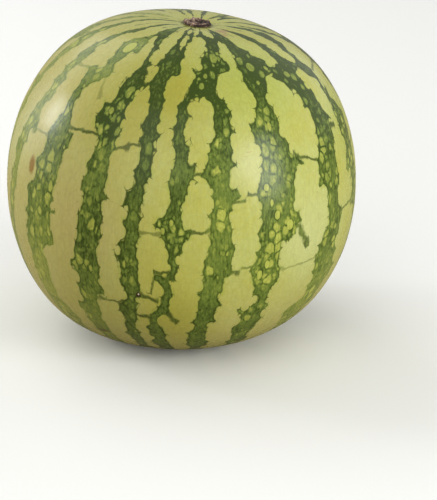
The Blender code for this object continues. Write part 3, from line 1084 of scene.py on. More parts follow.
class NodeDesk:
    """Adds nodes to one node tree and wires them up. A Value is a socket or a plain value."""

    def __init__(self, tree: bpy.types.NodeTree) -> None:
        """Work on a node tree."""
        self.tree = tree

    def add(self, kind: str, inputs: dict[Any, Value] | None = None, **settings: Any) -> bpy.types.Node:
        """Add a node, set it up and feed its inputs.

        Args:
            kind: The node's type name.
            inputs: Values or sockets by input name or number.
            settings: Attributes of the node.

        Returns:
            The node.
        """
        node = self.tree.nodes.new(kind)
        for name, value in settings.items():
            setattr(node, name, value)
        for key, value in (inputs or {}).items():
            self.feed(node.inputs[key], value)
        return node

    def feed(self, socket: Socket, value: Value) -> None:
        """Link a socket to an input, or set the input's own value.

        Args:
            socket: The input.
            value: A socket or a plain value.
        """
        if isinstance(value, bpy.types.NodeSocket):
            self.tree.links.new(value, socket)
        else:
            socket.default_value = value

    def math(self, operation: str, first: Value, second: Value = 0.0, third: Value = 0.0,
             clamp: bool = False) -> Socket:
        """Work a number out with a Math node.

        Args:
            operation: What the node does.
            first: Its first input.
            second: Its second input.
            third: Its third input.
            clamp: Whether the result is kept between 0 and 1.

        Returns:
            The result.
        """
        inputs = dict(enumerate((first, second, third)))
        return self.add("ShaderNodeMath", inputs, operation=operation, use_clamp=clamp).outputs[0]

    def vector_math(self, operation: str, first: Value, second: Value) -> bpy.types.Node:
        """Return a Vector Math node of two vectors."""
        return self.add("ShaderNodeVectorMath", {0: first, 1: second}, operation=operation)

    def step(self, value: Value, low: Value, high: Value, start: float = 0.0, end: float = 1.0) -> Socket:
        """Go smoothly from one number to another as a value goes from low to high.

        Args:
            value: The value that is followed.
            low: Where the result is the start.
            high: Where the result is the end.
            start: The result at low and before it.
            end: The result at high and past it.

        Returns:
            The result.
        """
        node = self.add(
            "ShaderNodeMapRange",
            {"Value": value, "From Min": low, "From Max": high, "To Min": start, "To Max": end},
            interpolation_type="SMOOTHSTEP",
        )
        return node.outputs["Result"]

    def mix(self, share: Value, first: Value, second: Value, blend: Blend = Blend.PLAIN) -> Socket:
        """Lay a second colour over a first.

        Args:
            share: How much of the second is laid on.
            first: The colour below.
            second: The colour on top.
            blend: The way in which it is laid over.

        Returns:
            The mixed colour.
        """
        settings = {"data_type": "RGBA", "blend_type": blend.value, "clamp_factor": True}
        return self.add("ShaderNodeMix", {0: share, 6: first, 7: second}, **settings).outputs[2]

    def ramp(self, value: Socket, stops: tuple[tuple[float, str], ...]) -> Socket:
        """Read a colour off a ramp.

        Args:
            value: The place on the ramp, from 0 to 1.
            stops: Places and screen colours.

        Returns:
            The colour.
        """
        node = self.add("ShaderNodeValToRGB", {"Fac": value})
        elements = node.color_ramp.elements
        while len(elements) < len(stops):
            elements.new(0.5)
        for element, (at, code) in zip(elements, stops):
            element.position = at
            element.color = tint(code)
        return node.outputs["Color"]

    def noise(self, vector: Socket, scale: Value, detail: float = 2.0, roughness: float = 0.5) -> Socket:
        """Add a Noise texture.

        Args:
            vector: The place that it reads.
            scale: How many waves lie in one unit of the place.
            detail: How many finer layers it has.
            roughness: How strong the finer layers are.

        Returns:
            Its value, about 0.5 on average.
        """
        inputs = {"Vector": vector, "Scale": scale, "Detail": detail, "Roughness": roughness}
        return self.add("ShaderNodeTexNoise", inputs).outputs["Fac"]

    def field(self, name: str, output: str = "Fac") -> Socket:
        """Return what is stored on the mesh for each vertex, as a number or by the named output."""
        return self.add("ShaderNodeAttribute", attribute_name=name).outputs[output]

    def place(self) -> Socket:
        """Return the place on the piece, in the scene's metres."""
        return self.add("ShaderNodeTexCoord").outputs["Object"]

    def chance(self, texture: bpy.types.Node, channel: int = 0) -> Socket:
        """Return one channel of the random colour that a cell texture gives each cell."""
        return self.add("ShaderNodeSeparateColor", {0: texture.outputs["Color"]}).outputs[channel]

    def bump(self, shader: bpy.types.Node, height: Socket, strength: float) -> None:
        """Let a shader's surface follow a fine relief.

        Args:
            shader: The Principled shader.
            height: The relief in metres.
            strength: How much of it shows.
        """
        node = self.add("ShaderNodeBump", {"Height": height, "Strength": strength, "Distance": 1.0})
        self.feed(shader.inputs["Normal"], node.outputs["Normal"])


@dataclass
class SharedEffects:
    """Node groups that more than one material uses, each built once."""

    cell_walls: bpy.types.NodeTree = field(init=False)
    blemish: bpy.types.NodeTree = field(init=False)
    mottle: bpy.types.NodeTree = field(init=False)

    def __post_init__(self) -> None:
        """Build the groups."""
        self.cell_walls = self.build_cell_walls()
        self.blemish = self.build_blemish()
        self.mottle = self.build_mottle()

    def cells(self, desk: NodeDesk, place: Socket, size: float, unevenness: float) -> bpy.types.Node:
        """Place the group of small grown cells.

        Args:
            desk: Where the node goes.
            place: The place that it reads.
            size: How large the cells are.
            unevenness: How far they are from a square grid.

        Returns:
            The node, with distances to wall and centre, the way out, and a chance for each cell.
        """
        return desk.add("ShaderNodeGroup", node_tree=self.cell_walls, inputs={
            "Place": place, "Cell Size": size, "Unevenness": unevenness,
        })

    def mark(self, desk: NodeDesk, place: Socket, **values: Value) -> Socket:
        """Place the group of a ragged round mark, with its values by name.

        Args:
            desk: Where the node goes.
            place: The place on the piece.
            values: The mark's centre, stretch, radius, raggedness and softness.

        Returns:
            The mark's mask: 1 in the middle, 0 outside.
        """
        inputs = {"Place": place} | {name.title(): value for name, value in values.items()}
        return desk.add("ShaderNodeGroup", inputs, node_tree=self.blemish).outputs["Mask"]

    def clouds(self, desk: NodeDesk, place: Socket, cloud_size: float, grain_size: float,
               grain_share: float) -> Socket:
        """Place the group of cloudy variation.

        Args:
            desk: Where the node goes.
            place: The place that it reads.
            cloud_size: How large the clouds are.
            grain_size: How large the grain in them is.
            grain_share: How much of the variation the grain makes.

        Returns:
            The variation, from -1 to 1.
        """
        return desk.add("ShaderNodeGroup", node_tree=self.mottle, inputs={
            "Place": place, "Cloud Size": cloud_size, "Grain Size": grain_size, "Grain Share": grain_share,
        }).outputs["Variation"]

    @staticmethod
    def start_group(
        name: str, inputs: dict[str, float | None], outputs: tuple[str, ...]
    ) -> tuple[NodeDesk, Any, bpy.types.Node]:
        """Start a node group with named inputs and outputs.

        Args:
            name: The group's name.
            inputs: The default of each input, or None for an input that is a vector.
            outputs: Name of each output, which is a number.

        Returns:
            A desk to fill the group, its inputs by name, and its output node.
        """
        tree = bpy.data.node_groups.new(name, "ShaderNodeTree")
        for label, default in inputs.items():
            kind = "NodeSocketVector" if default is None else "NodeSocketFloat"
            socket = tree.interface.new_socket(name=label, in_out="INPUT", socket_type=kind)
            if default is not None:
                socket.default_value = default
        for label in outputs:
            tree.interface.new_socket(name=label, in_out="OUTPUT", socket_type="NodeSocketFloat")
        desk = NodeDesk(tree)
        return desk, desk.add("NodeGroupInput").outputs, desk.add("NodeGroupOutput")

    def build_cell_walls(self) -> bpy.types.NodeTree:
        """Build small grown cells: distances to wall and centre, the way out, and a chance for each.

        Returns:
            The group.
        """
        desk, given, result = self.start_group(
            "cell walls",
            {"Place": None, "Cell Size": 1.5, "Unevenness": 0.9},
            ("Wall Distance", "Centre Distance", "Way Out", "Chance"),
        )
        size = given["Cell Size"]
        scale = desk.math("DIVIDE", 1.0, size)
        common = {"Vector": given["Place"], "Scale": scale, "Randomness": given["Unevenness"]}
        walls = desk.add("ShaderNodeTexVoronoi", common, feature="DISTANCE_TO_EDGE")
        cells = desk.add("ShaderNodeTexVoronoi", common, feature="F1")
        room = desk.add("ShaderNodeTexVoronoi", common, feature="N_SPHERE_RADIUS").outputs["Radius"]
        for label, texture in (("Wall Distance", walls), ("Centre Distance", cells)):
            desk.feed(result.inputs[label], desk.math("MULTIPLY", texture.outputs["Distance"], size))
        desk.feed(result.inputs["Way Out"], desk.math("DIVIDE", cells.outputs["Distance"], room))
        desk.feed(result.inputs["Chance"], desk.chance(cells))
        return desk.tree

    def build_blemish(self) -> bpy.types.NodeTree:
        """Build a ragged round mark at one place: 1 in the middle, 0 outside.

        Returns:
            The group.
        """
        desk, given, result = self.start_group(
            "blemish",
            {
                "Place": None, "Centre": None, "Stretch": None,
                "Radius": 0.002, "Raggedness": 0.3, "Softness": 0.4,
            },
            ("Mask",),
        )
        offset = desk.vector_math("SUBTRACT", given["Place"], given["Centre"]).outputs[0]
        scaled = desk.vector_math("DIVIDE", offset, given["Stretch"]).outputs[0]
        away = desk.add("ShaderNodeVectorMath", {0: scaled}, operation="LENGTH").outputs["Value"]
        share = desk.math("DIVIDE", away, given["Radius"])
        rough = desk.noise(given["Place"], scale=900.0, detail=3.0, roughness=0.6)
        wobble = desk.math("MULTIPLY", desk.math("SUBTRACT", rough, 0.5), given["Raggedness"])
        ragged = desk.math("ADD", share, wobble)
        inner = desk.math("SUBTRACT", 1.0, given["Softness"])
        desk.feed(result.inputs["Mask"], desk.step(ragged, inner, 1.0, start=1.0, end=0.0))
        return desk.tree

    def build_mottle(self) -> bpy.types.NodeTree:
        """Build soft cloudy variation with finer grain in it, from -1 to 1.

        Returns:
            The group.
        """
        desk, given, result = self.start_group(
            "mottle",
            {"Place": None, "Cloud Size": 10.0, "Grain Size": 1.2, "Grain Share": 0.3},
            ("Variation",),
        )
        parts = []
        for label, detail in (("Cloud Size", 3.0), ("Grain Size", 2.0)):
            scale = desk.math("DIVIDE", 1.0, given[label])
            waves = desk.noise(given["Place"], scale, detail, roughness=0.55)
            parts.append(desk.math("MULTIPLY_ADD", waves, 4.0, -2.0))
        clouds, grain = parts
        kept = desk.math("MULTIPLY", clouds, desk.math("SUBTRACT", 1.0, given["Grain Share"]))
        variation = desk.math("MULTIPLY_ADD", grain, given["Grain Share"], kept)
        desk.feed(result.inputs["Variation"], variation)
        return desk.tree


def new_material(name: str) -> tuple[bpy.types.Material, NodeDesk, bpy.types.Node]:
    """Start a node material.

    Args:
        name: The material's name.

    Returns:
        The material, a desk for its nodes, and its Principled shader.
    """
    material = bpy.data.materials.new(name)
    material.use_nodes = True
    desk = NodeDesk(material.node_tree)
    return material, desk, material.node_tree.nodes["Principled BSDF"]


@dataclass(frozen=True)
class Blemish:
    """A mark on the rind: level and longitude in degrees, half width, half height, colour."""

    level: float
    longitude: float
    half_width: float
    half_height: float
    colour: Colour
    strength: float
    raggedness: float = 0.3
    softness: float = 0.4


@dataclass(frozen=True)
class Tinge:
    """A soft change of the pale ground's tone: level and longitude in degrees, and radius."""

    level: float
    longitude: float
    radius: float
    colour: Colour
    strength: float


@dataclass(frozen=True)
class EdgeLobes:
    """Rounded lobes along the stripes' edges: their size and how far they swell, in mm."""

    size: float
    swell: float


@dataclass(frozen=True)
class NetCells:
    """Cells of the stripes' net: size in mm, how readily the net opens them, and their tones."""

    size: float
    openness: float
    brightening: float
    darker_rim: float


# Tones of the pale ground and of the scratches in it that are laid on more than once
OLIVE = tint("A19C36")
YELLOW = tint("B2AF4E")
WARM = tint("BCAE6E")
CREAM = tint("C5CA8C")
LEAF = tint("A3AD4C")
SCRATCH = tint("A88A54")


@dataclass(frozen=True)
class RindFinish:
    """Colours and gloss of the waxy rind, and its marks, some of which are painted light and shade.

    Sizes of the pattern are in mm of the growth space, and those of the marks in metres.
    """

    pale: Colour = tint("B8BC70")
    yellow: Colour = YELLOW
    painted_warm_light: Colour = WARM
    lime: Colour = tint("9AA741")
    worn_green: Colour = tint("8E9650")
    greens: tuple[tuple[float, str], ...] = (
        (0.0, "B2B856"), (0.25, "A1A64A"), (0.45, "8B953F"), (0.7, "697B32"), (1.0, "3A4A15"),
    )
    roughness: float = 0.27
    roughness_change: float = 0.12
    reflection: float = 0.24
    pore_depth: float = 0.02 * MM
    stripe_rise: float = 0.03 * MM
    edge_lobes: tuple[EdgeLobes, ...] = (EdgeLobes(2.0, 0.4), EdgeLobes(4.4, 2.1))
    lobe_middle: float = 0.44
    edge_wobble: float = 0.8
    edge_inset: float = 0.1
    edge_softness: float = 0.35
    thorn_reach: float = 4.2
    thorn_rarity: float = 1.9
    thorn_width: float = 0.75
    thorn_softness: float = 0.4
    shortest_thorn: float = 0.02
    thread_wobble: float = 2.4
    yellow_share: float = 0.4
    yellow_contrast: float = 0.65
    # Shares of painted warm light laid on the pale ground at the left and at the bottom
    painted_warm_light_left: float = 0.6
    painted_warm_light_below: float = 0.5
    vein_size: float = 4.2
    streak_strength: float = 0.6
    speck_strength: float = 0.55
    fringe_strength: float = 0.35
    depth_clouds: float = 0.17
    depth_streaks: float = 0.8
    net_bend: float = 2.0
    net_cells: tuple[NetCells, ...] = (NetCells(2.3, 0.9, 0.2, 0.09), NetCells(4.4, 1.2, 0.46, 0.16))
    cell_wall: float = 0.16
    dark_edge: float = 0.16
    dark_round_spots: float = 0.18
    spot_brightening: float = 0.75
    tinges: tuple[Tinge, ...] = (
        Tinge(40.0, -12.0, 44.0 * MM, OLIVE, 0.75),
        Tinge(56.0, -30.0, 26.0 * MM, OLIVE, 0.4),
        Tinge(32.0, 30.0, 42.0 * MM, LEAF, 0.75),
        Tinge(60.0, 76.0, 28.0 * MM, LEAF, 0.6),
        # Painted light: a paler, brighter patch low on the right side, under the right window
        Tinge(92.0, 45.0, 42.0 * MM, CREAM, 0.7),
        Tinge(66.0, 18.0, 18.0 * MM, CREAM, 0.5),
        Tinge(72.0, -75.0, 34.0 * MM, CREAM, 0.5),
        Tinge(88.0, -33.0, 36.0 * MM, WARM, 0.6),
        Tinge(104.0, -2.0, 40.0 * MM, YELLOW, 0.7),
        # Painted shade: darker, more olive pale ground low on the front
        Tinge(126.0, -2.0, 34.0 * MM, OLIVE, 0.7),
        Tinge(60.0, 165.0, 50.0 * MM, OLIVE, 0.5),
        Tinge(100.0, 215.0, 45.0 * MM, CREAM, 0.6),
        Tinge(95.0, 120.0, 40.0 * MM, YELLOW, 0.6),
    )
    blemishes: tuple[Blemish, ...] = (
        # Painted shade: a dark green ring round the foot of the stem scar
        Blemish(0.05, 0.0, 9.3 * MM, 9.3 * MM, tint("41451A"), 0.8, 0.5, 0.15),
        Blemish(76.8, -58.2, 3.6 * MM, 6.6 * MM, tint("8C6818"), 0.92, 0.42, 0.5),
        Blemish(112.8, -13.6, 1.5 * MM, 1.9 * MM, tint("3A2416"), 0.95, 0.5, 0.4),
        Blemish(112.6, -13.5, 0.6 * MM, 0.7 * MM, tint("E8DCC8"), 0.9, 0.3, 0.5),
        Blemish(6.0, 44.0, 5.0 * MM, 2.6 * MM, tint("A88562"), 0.75, 0.9, 0.8),
        Blemish(8.5, 37.0, 3.0 * MM, 2.0 * MM, tint("A07D5A"), 0.6, 0.9, 0.8),
        Blemish(60.5, 21.4, 2.6 * MM, 0.35 * MM, SCRATCH, 0.55, 0.4, 0.7),
        Blemish(62.0, 20.2, 2.2 * MM, 0.3 * MM, SCRATCH, 0.45, 0.4, 0.7),
        Blemish(64.2, 17.6, 1.0 * MM, 0.35 * MM, SCRATCH, 0.45, 0.4, 0.7),
        # A dark brown blotch low on the left side, near where the fruit meets the floor
        Blemish(138.5, -34.0, 5.5 * MM, 1.6 * MM, tint("5A3A1C"), 0.7, 0.9, 0.7),
    )

    def make(self, effects: SharedEffects, form: FruitForm, standing: Standing) -> bpy.types.Material:
        """Build the rind's material.

        Args:
            effects: The shared node groups.
            form: The fruit's form, which places the marks.
            standing: How the form stands in the scene.

        Returns:
            The material.
        """
        material, desk, shader = new_material("rind")
        growth = desk.field("growth", "Vector")
        ground = desk.field("ground")
        place = desk.place()

        edge = desk.math("SUBTRACT", ground, self.edge_inset)
        edge = desk.math("MULTIPLY_ADD", desk.noise(growth, scale=0.5), self.edge_wobble, edge)
        for kind in self.edge_lobes:
            lobes = effects.cells(desk, growth, kind.size, unevenness=0.9)
            centre = lobes.outputs["Centre Distance"]
            out = desk.math("MULTIPLY_ADD", centre, -kind.swell / kind.size, self.lobe_middle * kind.swell)
            edge = desk.math("ADD", edge, out)
        pale = self.pale_colour(desk, effects, growth, place)
        pale = self.tinged(desk, effects, pale, place, form, standing)
        pale = self.weathered(desk, effects, pale, growth, ground)
        stripe = self.stripe_colour(desk, effects, growth, edge)
        dark_share = self.dark_share(desk, growth, edge, lobes)
        colour = desk.mix(dark_share, pale, stripe)
        for mark in self.blemishes:
            across = mark.half_width / mark.half_height
            mask = effects.mark(
                desk, place, centre=standing.spot(form, mark.level, mark.longitude),
                stretch=(across, across, 1.0), radius=mark.half_height,
                raggedness=mark.raggedness, softness=mark.softness,
            )
            colour = desk.mix(desk.math("MULTIPLY", mask, mark.strength), colour, mark.colour)
        desk.feed(shader.inputs["Base Color"], colour)

        smoothest = self.roughness - self.roughness_change / 2
        waxy = desk.noise(place, scale=160.0, detail=3.0)
        gloss = desk.math("MULTIPLY_ADD", waxy, self.roughness_change, smoothest)
        desk.feed(shader.inputs["Roughness"], gloss)
        shader.inputs["Specular IOR Level"].default_value = self.reflection
        pores = desk.math("MULTIPLY", desk.noise(place, scale=900.0, detail=3.0), self.pore_depth)
        desk.bump(shader, desk.math("MULTIPLY_ADD", dark_share, self.stripe_rise, pores), strength=0.6)
        return material

    def dark_share(self, desk: NodeDesk, growth: Socket, edge: Socket, lobes: bpy.types.Node) -> Socket:
        """Find where the stripes are, with thorns and threads that reach into the pale ground.

        Args:
            desk: Where the nodes go.
            growth: The place in the growth space.
            edge: The distance from the stripes' lobed edges, above 0 in the pale ground.
            lobes: The cells of the larger lobes, which the thorns follow.

        Returns:
            1 in a stripe, a thorn or a thread, and 0 in the pale ground.
        """
        stripe = desk.step(edge, -self.edge_softness, self.edge_softness, start=1.0, end=0.0)
        reach = desk.math("MULTIPLY_ADD", lobes.outputs["Chance"], self.thorn_reach, -self.thorn_rarity)
        reach = desk.math("MAXIMUM", reach, self.shortest_thorn)
        left = desk.math("SUBTRACT", 1.0, desk.math("DIVIDE", edge, reach), clamp=True)
        width = desk.math("MULTIPLY", left, self.thorn_width)
        core = desk.math("SUBTRACT", width, self.thorn_softness)
        thorn = desk.step(lobes.outputs["Wall Distance"], core, width, start=1.0, end=0.0)
        thorn = desk.math("MULTIPLY", thorn, desk.step(left, low=0.0, high=0.9, end=0.9))

        waves = desk.noise(growth, scale=0.24, roughness=0.45)
        wobble = desk.math("MULTIPLY_ADD", waves, self.thread_wobble, -self.thread_wobble / 2)
        side = desk.math("ABSOLUTE", desk.math("ADD", desk.field("thread_side"), wobble))
        thread = desk.step(side, low=0.2, high=0.8, start=0.9, end=0.0)
        thread = desk.math("MULTIPLY", thread, desk.step(desk.field("thread_room"), low=0.0, high=0.5))
        return desk.math("MAXIMUM", desk.math("MAXIMUM", stripe, thorn), thread)

    def pale_colour(self, desk: NodeDesk, effects: SharedEffects, growth: Socket, place: Socket) -> Socket:
        """Lay yellow clouds over the pale ground, and painted warm light that grows towards the left and the
        bottom.

        Args:
            desk: Where the nodes go.
            effects: The shared node groups.
            growth: The place in the growth space.
            place: The place in the scene.

        Returns:
            The colour.
        """
        clouds = effects.clouds(desk, growth, cloud_size=20.0, grain_size=2.2, grain_share=0.4)
        share = desk.math("MULTIPLY_ADD", clouds, self.yellow_contrast, self.yellow_share, clamp=True)
        colour = desk.mix(share, self.pale, self.yellow)
        # Painted warm light: the pale ground is tinted warmer towards the left side and towards the bottom
        along = desk.add("ShaderNodeSeparateXYZ", {"Vector": place}).outputs
        left = desk.step(along["X"], low=0.01, high=-0.085, end=self.painted_warm_light_left)
        below = desk.step(along["Z"], low=0.07, high=0.015, end=self.painted_warm_light_below)
        return desk.mix(desk.math("MAXIMUM", left, below), colour, self.painted_warm_light)

    def tinged(self, desk: NodeDesk, effects: SharedEffects, colour: Socket, place: Socket,
               form: FruitForm, standing: Standing) -> Socket:
        """Lay the soft tinges over the pale ground.

        Args:
            desk: Where the nodes go.
            effects: The shared node groups.
            colour: The colour so far.
            place: The place in the scene.
            form: The fruit's form, which places the tinges.
            standing: How the form stands in the scene.

        Returns:
            The colour.
        """
        for tinge in self.tinges:
            mask = effects.mark(
                desk, place, centre=standing.spot(form, tinge.level, tinge.longitude),
                stretch=(1.0, 1.0, 1.0), radius=tinge.radius, raggedness=0.15, softness=1.0,
            )
            colour = desk.mix(desk.math("MULTIPLY", mask, tinge.strength), colour, tinge.colour)
        return colour

    def weathered(self, desk: NodeDesk, effects: SharedEffects, colour: Socket, growth: Socket,
                  ground: Socket) -> Socket:
        """Add faint streaks and veins, green specks and the lime fringe beside the stripes.

        Args:
            desk: Where the nodes go.
            effects: The shared node groups.
            colour: The colour so far.
            growth: The place in the growth space.
            ground: The depth inside the pale ground.

        Returns:
            The colour.
        """
        lengthwise = desk.vector_math("MULTIPLY", growth, (1.0, 1.0, 0.2)).outputs[0]
        streaks = desk.noise(lengthwise, scale=0.9, detail=4.0, roughness=0.7)
        streaks = desk.math("MULTIPLY_ADD", streaks, 0.6, 0.7)
        veins = effects.cells(desk, growth, self.vein_size, unevenness=1.0)
        vein = desk.step(veins.outputs["Wall Distance"], low=0.0, high=0.35, start=0.9, end=1.0)
        shade = desk.math("MULTIPLY", streaks, vein)
        grey = desk.add("ShaderNodeCombineColor", {0: shade, 1: shade, 2: shade}).outputs[0]
        colour = desk.mix(self.streak_strength, colour, grey, Blend.DARKEN)

        scattered = {"Vector": growth, "Scale": 0.3, "Randomness": 1.0}
        dots = desk.add("ShaderNodeTexVoronoi", scattered, feature="F1")
        speck = desk.step(dots.outputs["Distance"], low=0.05, high=0.11, start=1.0, end=0.0)
        shown = desk.step(desk.chance(dots, channel=1), low=0.62, high=0.7, end=self.speck_strength)
        colour = desk.mix(desk.math("MULTIPLY", speck, shown), colour, self.worn_green)
        fringe = desk.step(ground, low=0.0, high=1.0, start=self.fringe_strength, end=0.0)
        return desk.mix(fringe, colour, self.lime)

    def stripe_colour(self, desk: NodeDesk, effects: SharedEffects, growth: Socket, edge: Socket) -> Socket:
        """Work out the stripes' green, which is lighter in the cells and darker round them.

        Args:
            desk: Where the nodes go.
            effects: The shared node groups.
            growth: The place in the growth space.
            edge: The distance from the stripes' lobed edges, below 0 in a stripe.

        Returns:
            The colour.
        """
        clouds = effects.clouds(desk, growth, cloud_size=9.0, grain_size=1.4, grain_share=0.5)
        depth = desk.math("MULTIPLY_ADD", clouds, -self.depth_clouds, desk.field("depth"))
        lengthwise = desk.vector_math("MULTIPLY", growth, (1.0, 1.0, 0.33)).outputs[0]
        streaks = desk.noise(lengthwise, scale=0.95, detail=3.0, roughness=0.65)
        streaks = desk.math("SUBTRACT", streaks, 0.5)
        depth = desk.math("MULTIPLY_ADD", streaks, self.depth_streaks, depth)

        waves = desk.add("ShaderNodeTexNoise", {"Vector": growth, "Scale": 0.3, "Detail": 1.0})
        inputs = {0: waves.outputs["Color"], 1: (self.net_bend,) * 3, 2: growth}
        bent = desk.add("ShaderNodeVectorMath", inputs, operation="MULTIPLY_ADD").outputs[0]
        spots = desk.noise(growth, scale=0.7, detail=1.0)
        spots = desk.math("MULTIPLY_ADD", spots, 0.5, desk.field("spots"))
        core = desk.step(spots, low=0.2, high=1.0)
        net = desk.math("MULTIPLY", desk.field("net"), desk.math("SUBTRACT", 1.0, core))
        for kind in self.net_cells:
            wall, _, way_out, chance = effects.cells(desk, bent, kind.size, unevenness=0.8).outputs
            opened = desk.math("ADD", chance, desk.math("MULTIPLY_ADD", net, kind.openness, -1.0))
            opened = desk.step(opened, low=-0.2, high=0.35)
            inside = desk.step(wall, low=0.0, high=kind.size * self.cell_wall)
            rounded = desk.step(way_out, low=0.85, high=1.75, start=1.0, end=0.0)
            inside = desk.math("MULTIPLY", inside, rounded)
            light = desk.math("MULTIPLY", opened, inside)
            depth = desk.math("MULTIPLY_ADD", light, -kind.brightening, depth)
            rim = desk.math("SUBTRACT", 1.0, inside)
            rim = desk.math("MULTIPLY", rim, desk.math("MULTIPLY_ADD", opened, 0.7, 0.3))
            depth = desk.math("MULTIPLY_ADD", rim, kind.darker_rim, depth)

        depth = desk.math("ADD", depth, desk.step(edge, low=-1.5, high=-0.4, end=self.dark_edge))
        depth = desk.math("ADD", depth, desk.step(spots, low=-0.9, high=0.1, end=self.dark_round_spots))
        depth = desk.math("MULTIPLY_ADD", core, -self.spot_brightening, depth)
        return desk.ramp(depth, self.greens)


@dataclass
class Rind:
    """The fruit's fine outer surface, which stands for the whole CAD node."""

    form: FruitForm
    pattern: RindPattern
    finish: RindFinish
    effects: SharedEffects
    halvings: int = 7
    standing: Standing = field(init=False)

    def build(self) -> bpy.types.Object:
        """Model, pattern and dress the rind.

        Returns:
            The finished piece.
        """
        piece = self.rounded_cube()
        directions = self.evened_directions(read_points(piece.data))
        level, longitude = self.form.places(directions)
        points = self.form.surface(level, longitude, rippled=True)
        low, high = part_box(FRUIT_NODE)
        self.standing = Standing.in_box(points, low, high)
        write_points(piece.data, self.standing.stand(points))

        fields = self.pattern.lay_out(level, longitude)
        for name, values in vars(fields).items():
            store_field(piece.data, name, values)
        dress(piece, self.finish.make(self.effects, self.form, self.standing))
        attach(piece, BODY)
        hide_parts(FRUIT_NODE)
        return piece

    def rounded_cube(self) -> bpy.types.Object:
        """Add a cube and halve its faces until they are fine enough for the rind.

        Returns:
            The fine cube.
        """
        deselect_all()
        bpy.ops.mesh.primitive_cube_add(size=2.0, location=(0.0, 0.0, 0.0))
        piece = bpy.context.object
        piece.name = "rind"
        halve_faces(piece, self.halvings, Corners.KEPT)
        return piece

    @staticmethod
    def evened_directions(cube_points: np.ndarray) -> np.ndarray:
        """Turn points of a cube from -1 to 1 into directions that lie about evenly over a ball."""
        return unit_rows(np.tan(cube_points * math.pi / 4.0))


@dataclass(frozen=True)
class CorkFinish:
    """Colours and relief of the dry cork of a scar. It darkens where the hollow field is high: partly the
    cork's own brown, partly painted shade in the pits.
    """

    name: str = "scar cork"
    pale: Colour = tint("B59A84")
    brown: Colour = tint("523226")
    crack_and_pit_shade: Colour = tint("21120B")
    roughness: float = 0.82
    roughness_change: float = 0.05
    cracked_size: float = 1.5 * MM
    crack_depth: float = 0.1 * MM
    grain_depth: float = 0.12 * MM

    def make(self, effects: SharedEffects) -> bpy.types.Material:
        """Build the cork's material.

        Args:
            effects: The shared node groups.

        Returns:
            The material.
        """
        material, desk, shader = new_material(self.name)
        place, hollow = desk.place(), desk.field("hollow")
        clouds = effects.clouds(desk, place, cloud_size=3.0 * MM, grain_size=0.5 * MM, grain_share=0.5)
        # Browner where the hollow field is high: partly the cork's own brown, partly painted shade
        age_and_hollow_shade = desk.math("MULTIPLY_ADD", clouds, 0.35, desk.math("MULTIPLY", hollow, 1.5), clamp=True)
        colour = desk.mix(age_and_hollow_shade, self.pale, self.brown)
        walls = effects.cells(desk, place, self.cracked_size, unevenness=1.0)
        crack = desk.step(walls.outputs["Wall Distance"], low=0.02 * MM, high=0.24 * MM, start=0.8, end=0.0)
        colour = desk.mix(crack, colour, self.crack_and_pit_shade)
        # Painted shade: the deepest hollows darken almost to black
        colour = desk.mix(desk.step(hollow, low=0.45, high=0.85), colour, self.crack_and_pit_shade)
        desk.feed(shader.inputs["Base Color"], colour)
        gloss = desk.math("MULTIPLY_ADD", clouds, self.roughness_change, self.roughness)
        desk.feed(shader.inputs["Roughness"], gloss)
        grain = desk.noise(place, scale=2200.0, detail=4.0, roughness=0.6)
        grain = desk.math("MULTIPLY", grain, self.grain_depth)
        desk.bump(shader, desk.math("MULTIPLY_ADD", crack, -self.crack_depth, grain), strength=0.8)
        return material


@dataclass
class Scar:
    """A corky scar at one end of the fruit: what it grows on and what it is made of."""

    form: FruitForm
    standing: Standing
    finish: CorkFinish
    effects: SharedEffects

    def finished(self, piece: bpy.types.Object) -> bpy.types.Object:
        """Give a modelled scar its cork and its body.

        Args:
            piece: The modelled scar.

        Returns:
            The finished piece.
        """
        dress(piece, self.finish.make(self.effects))
        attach(piece, BODY)
        return piece


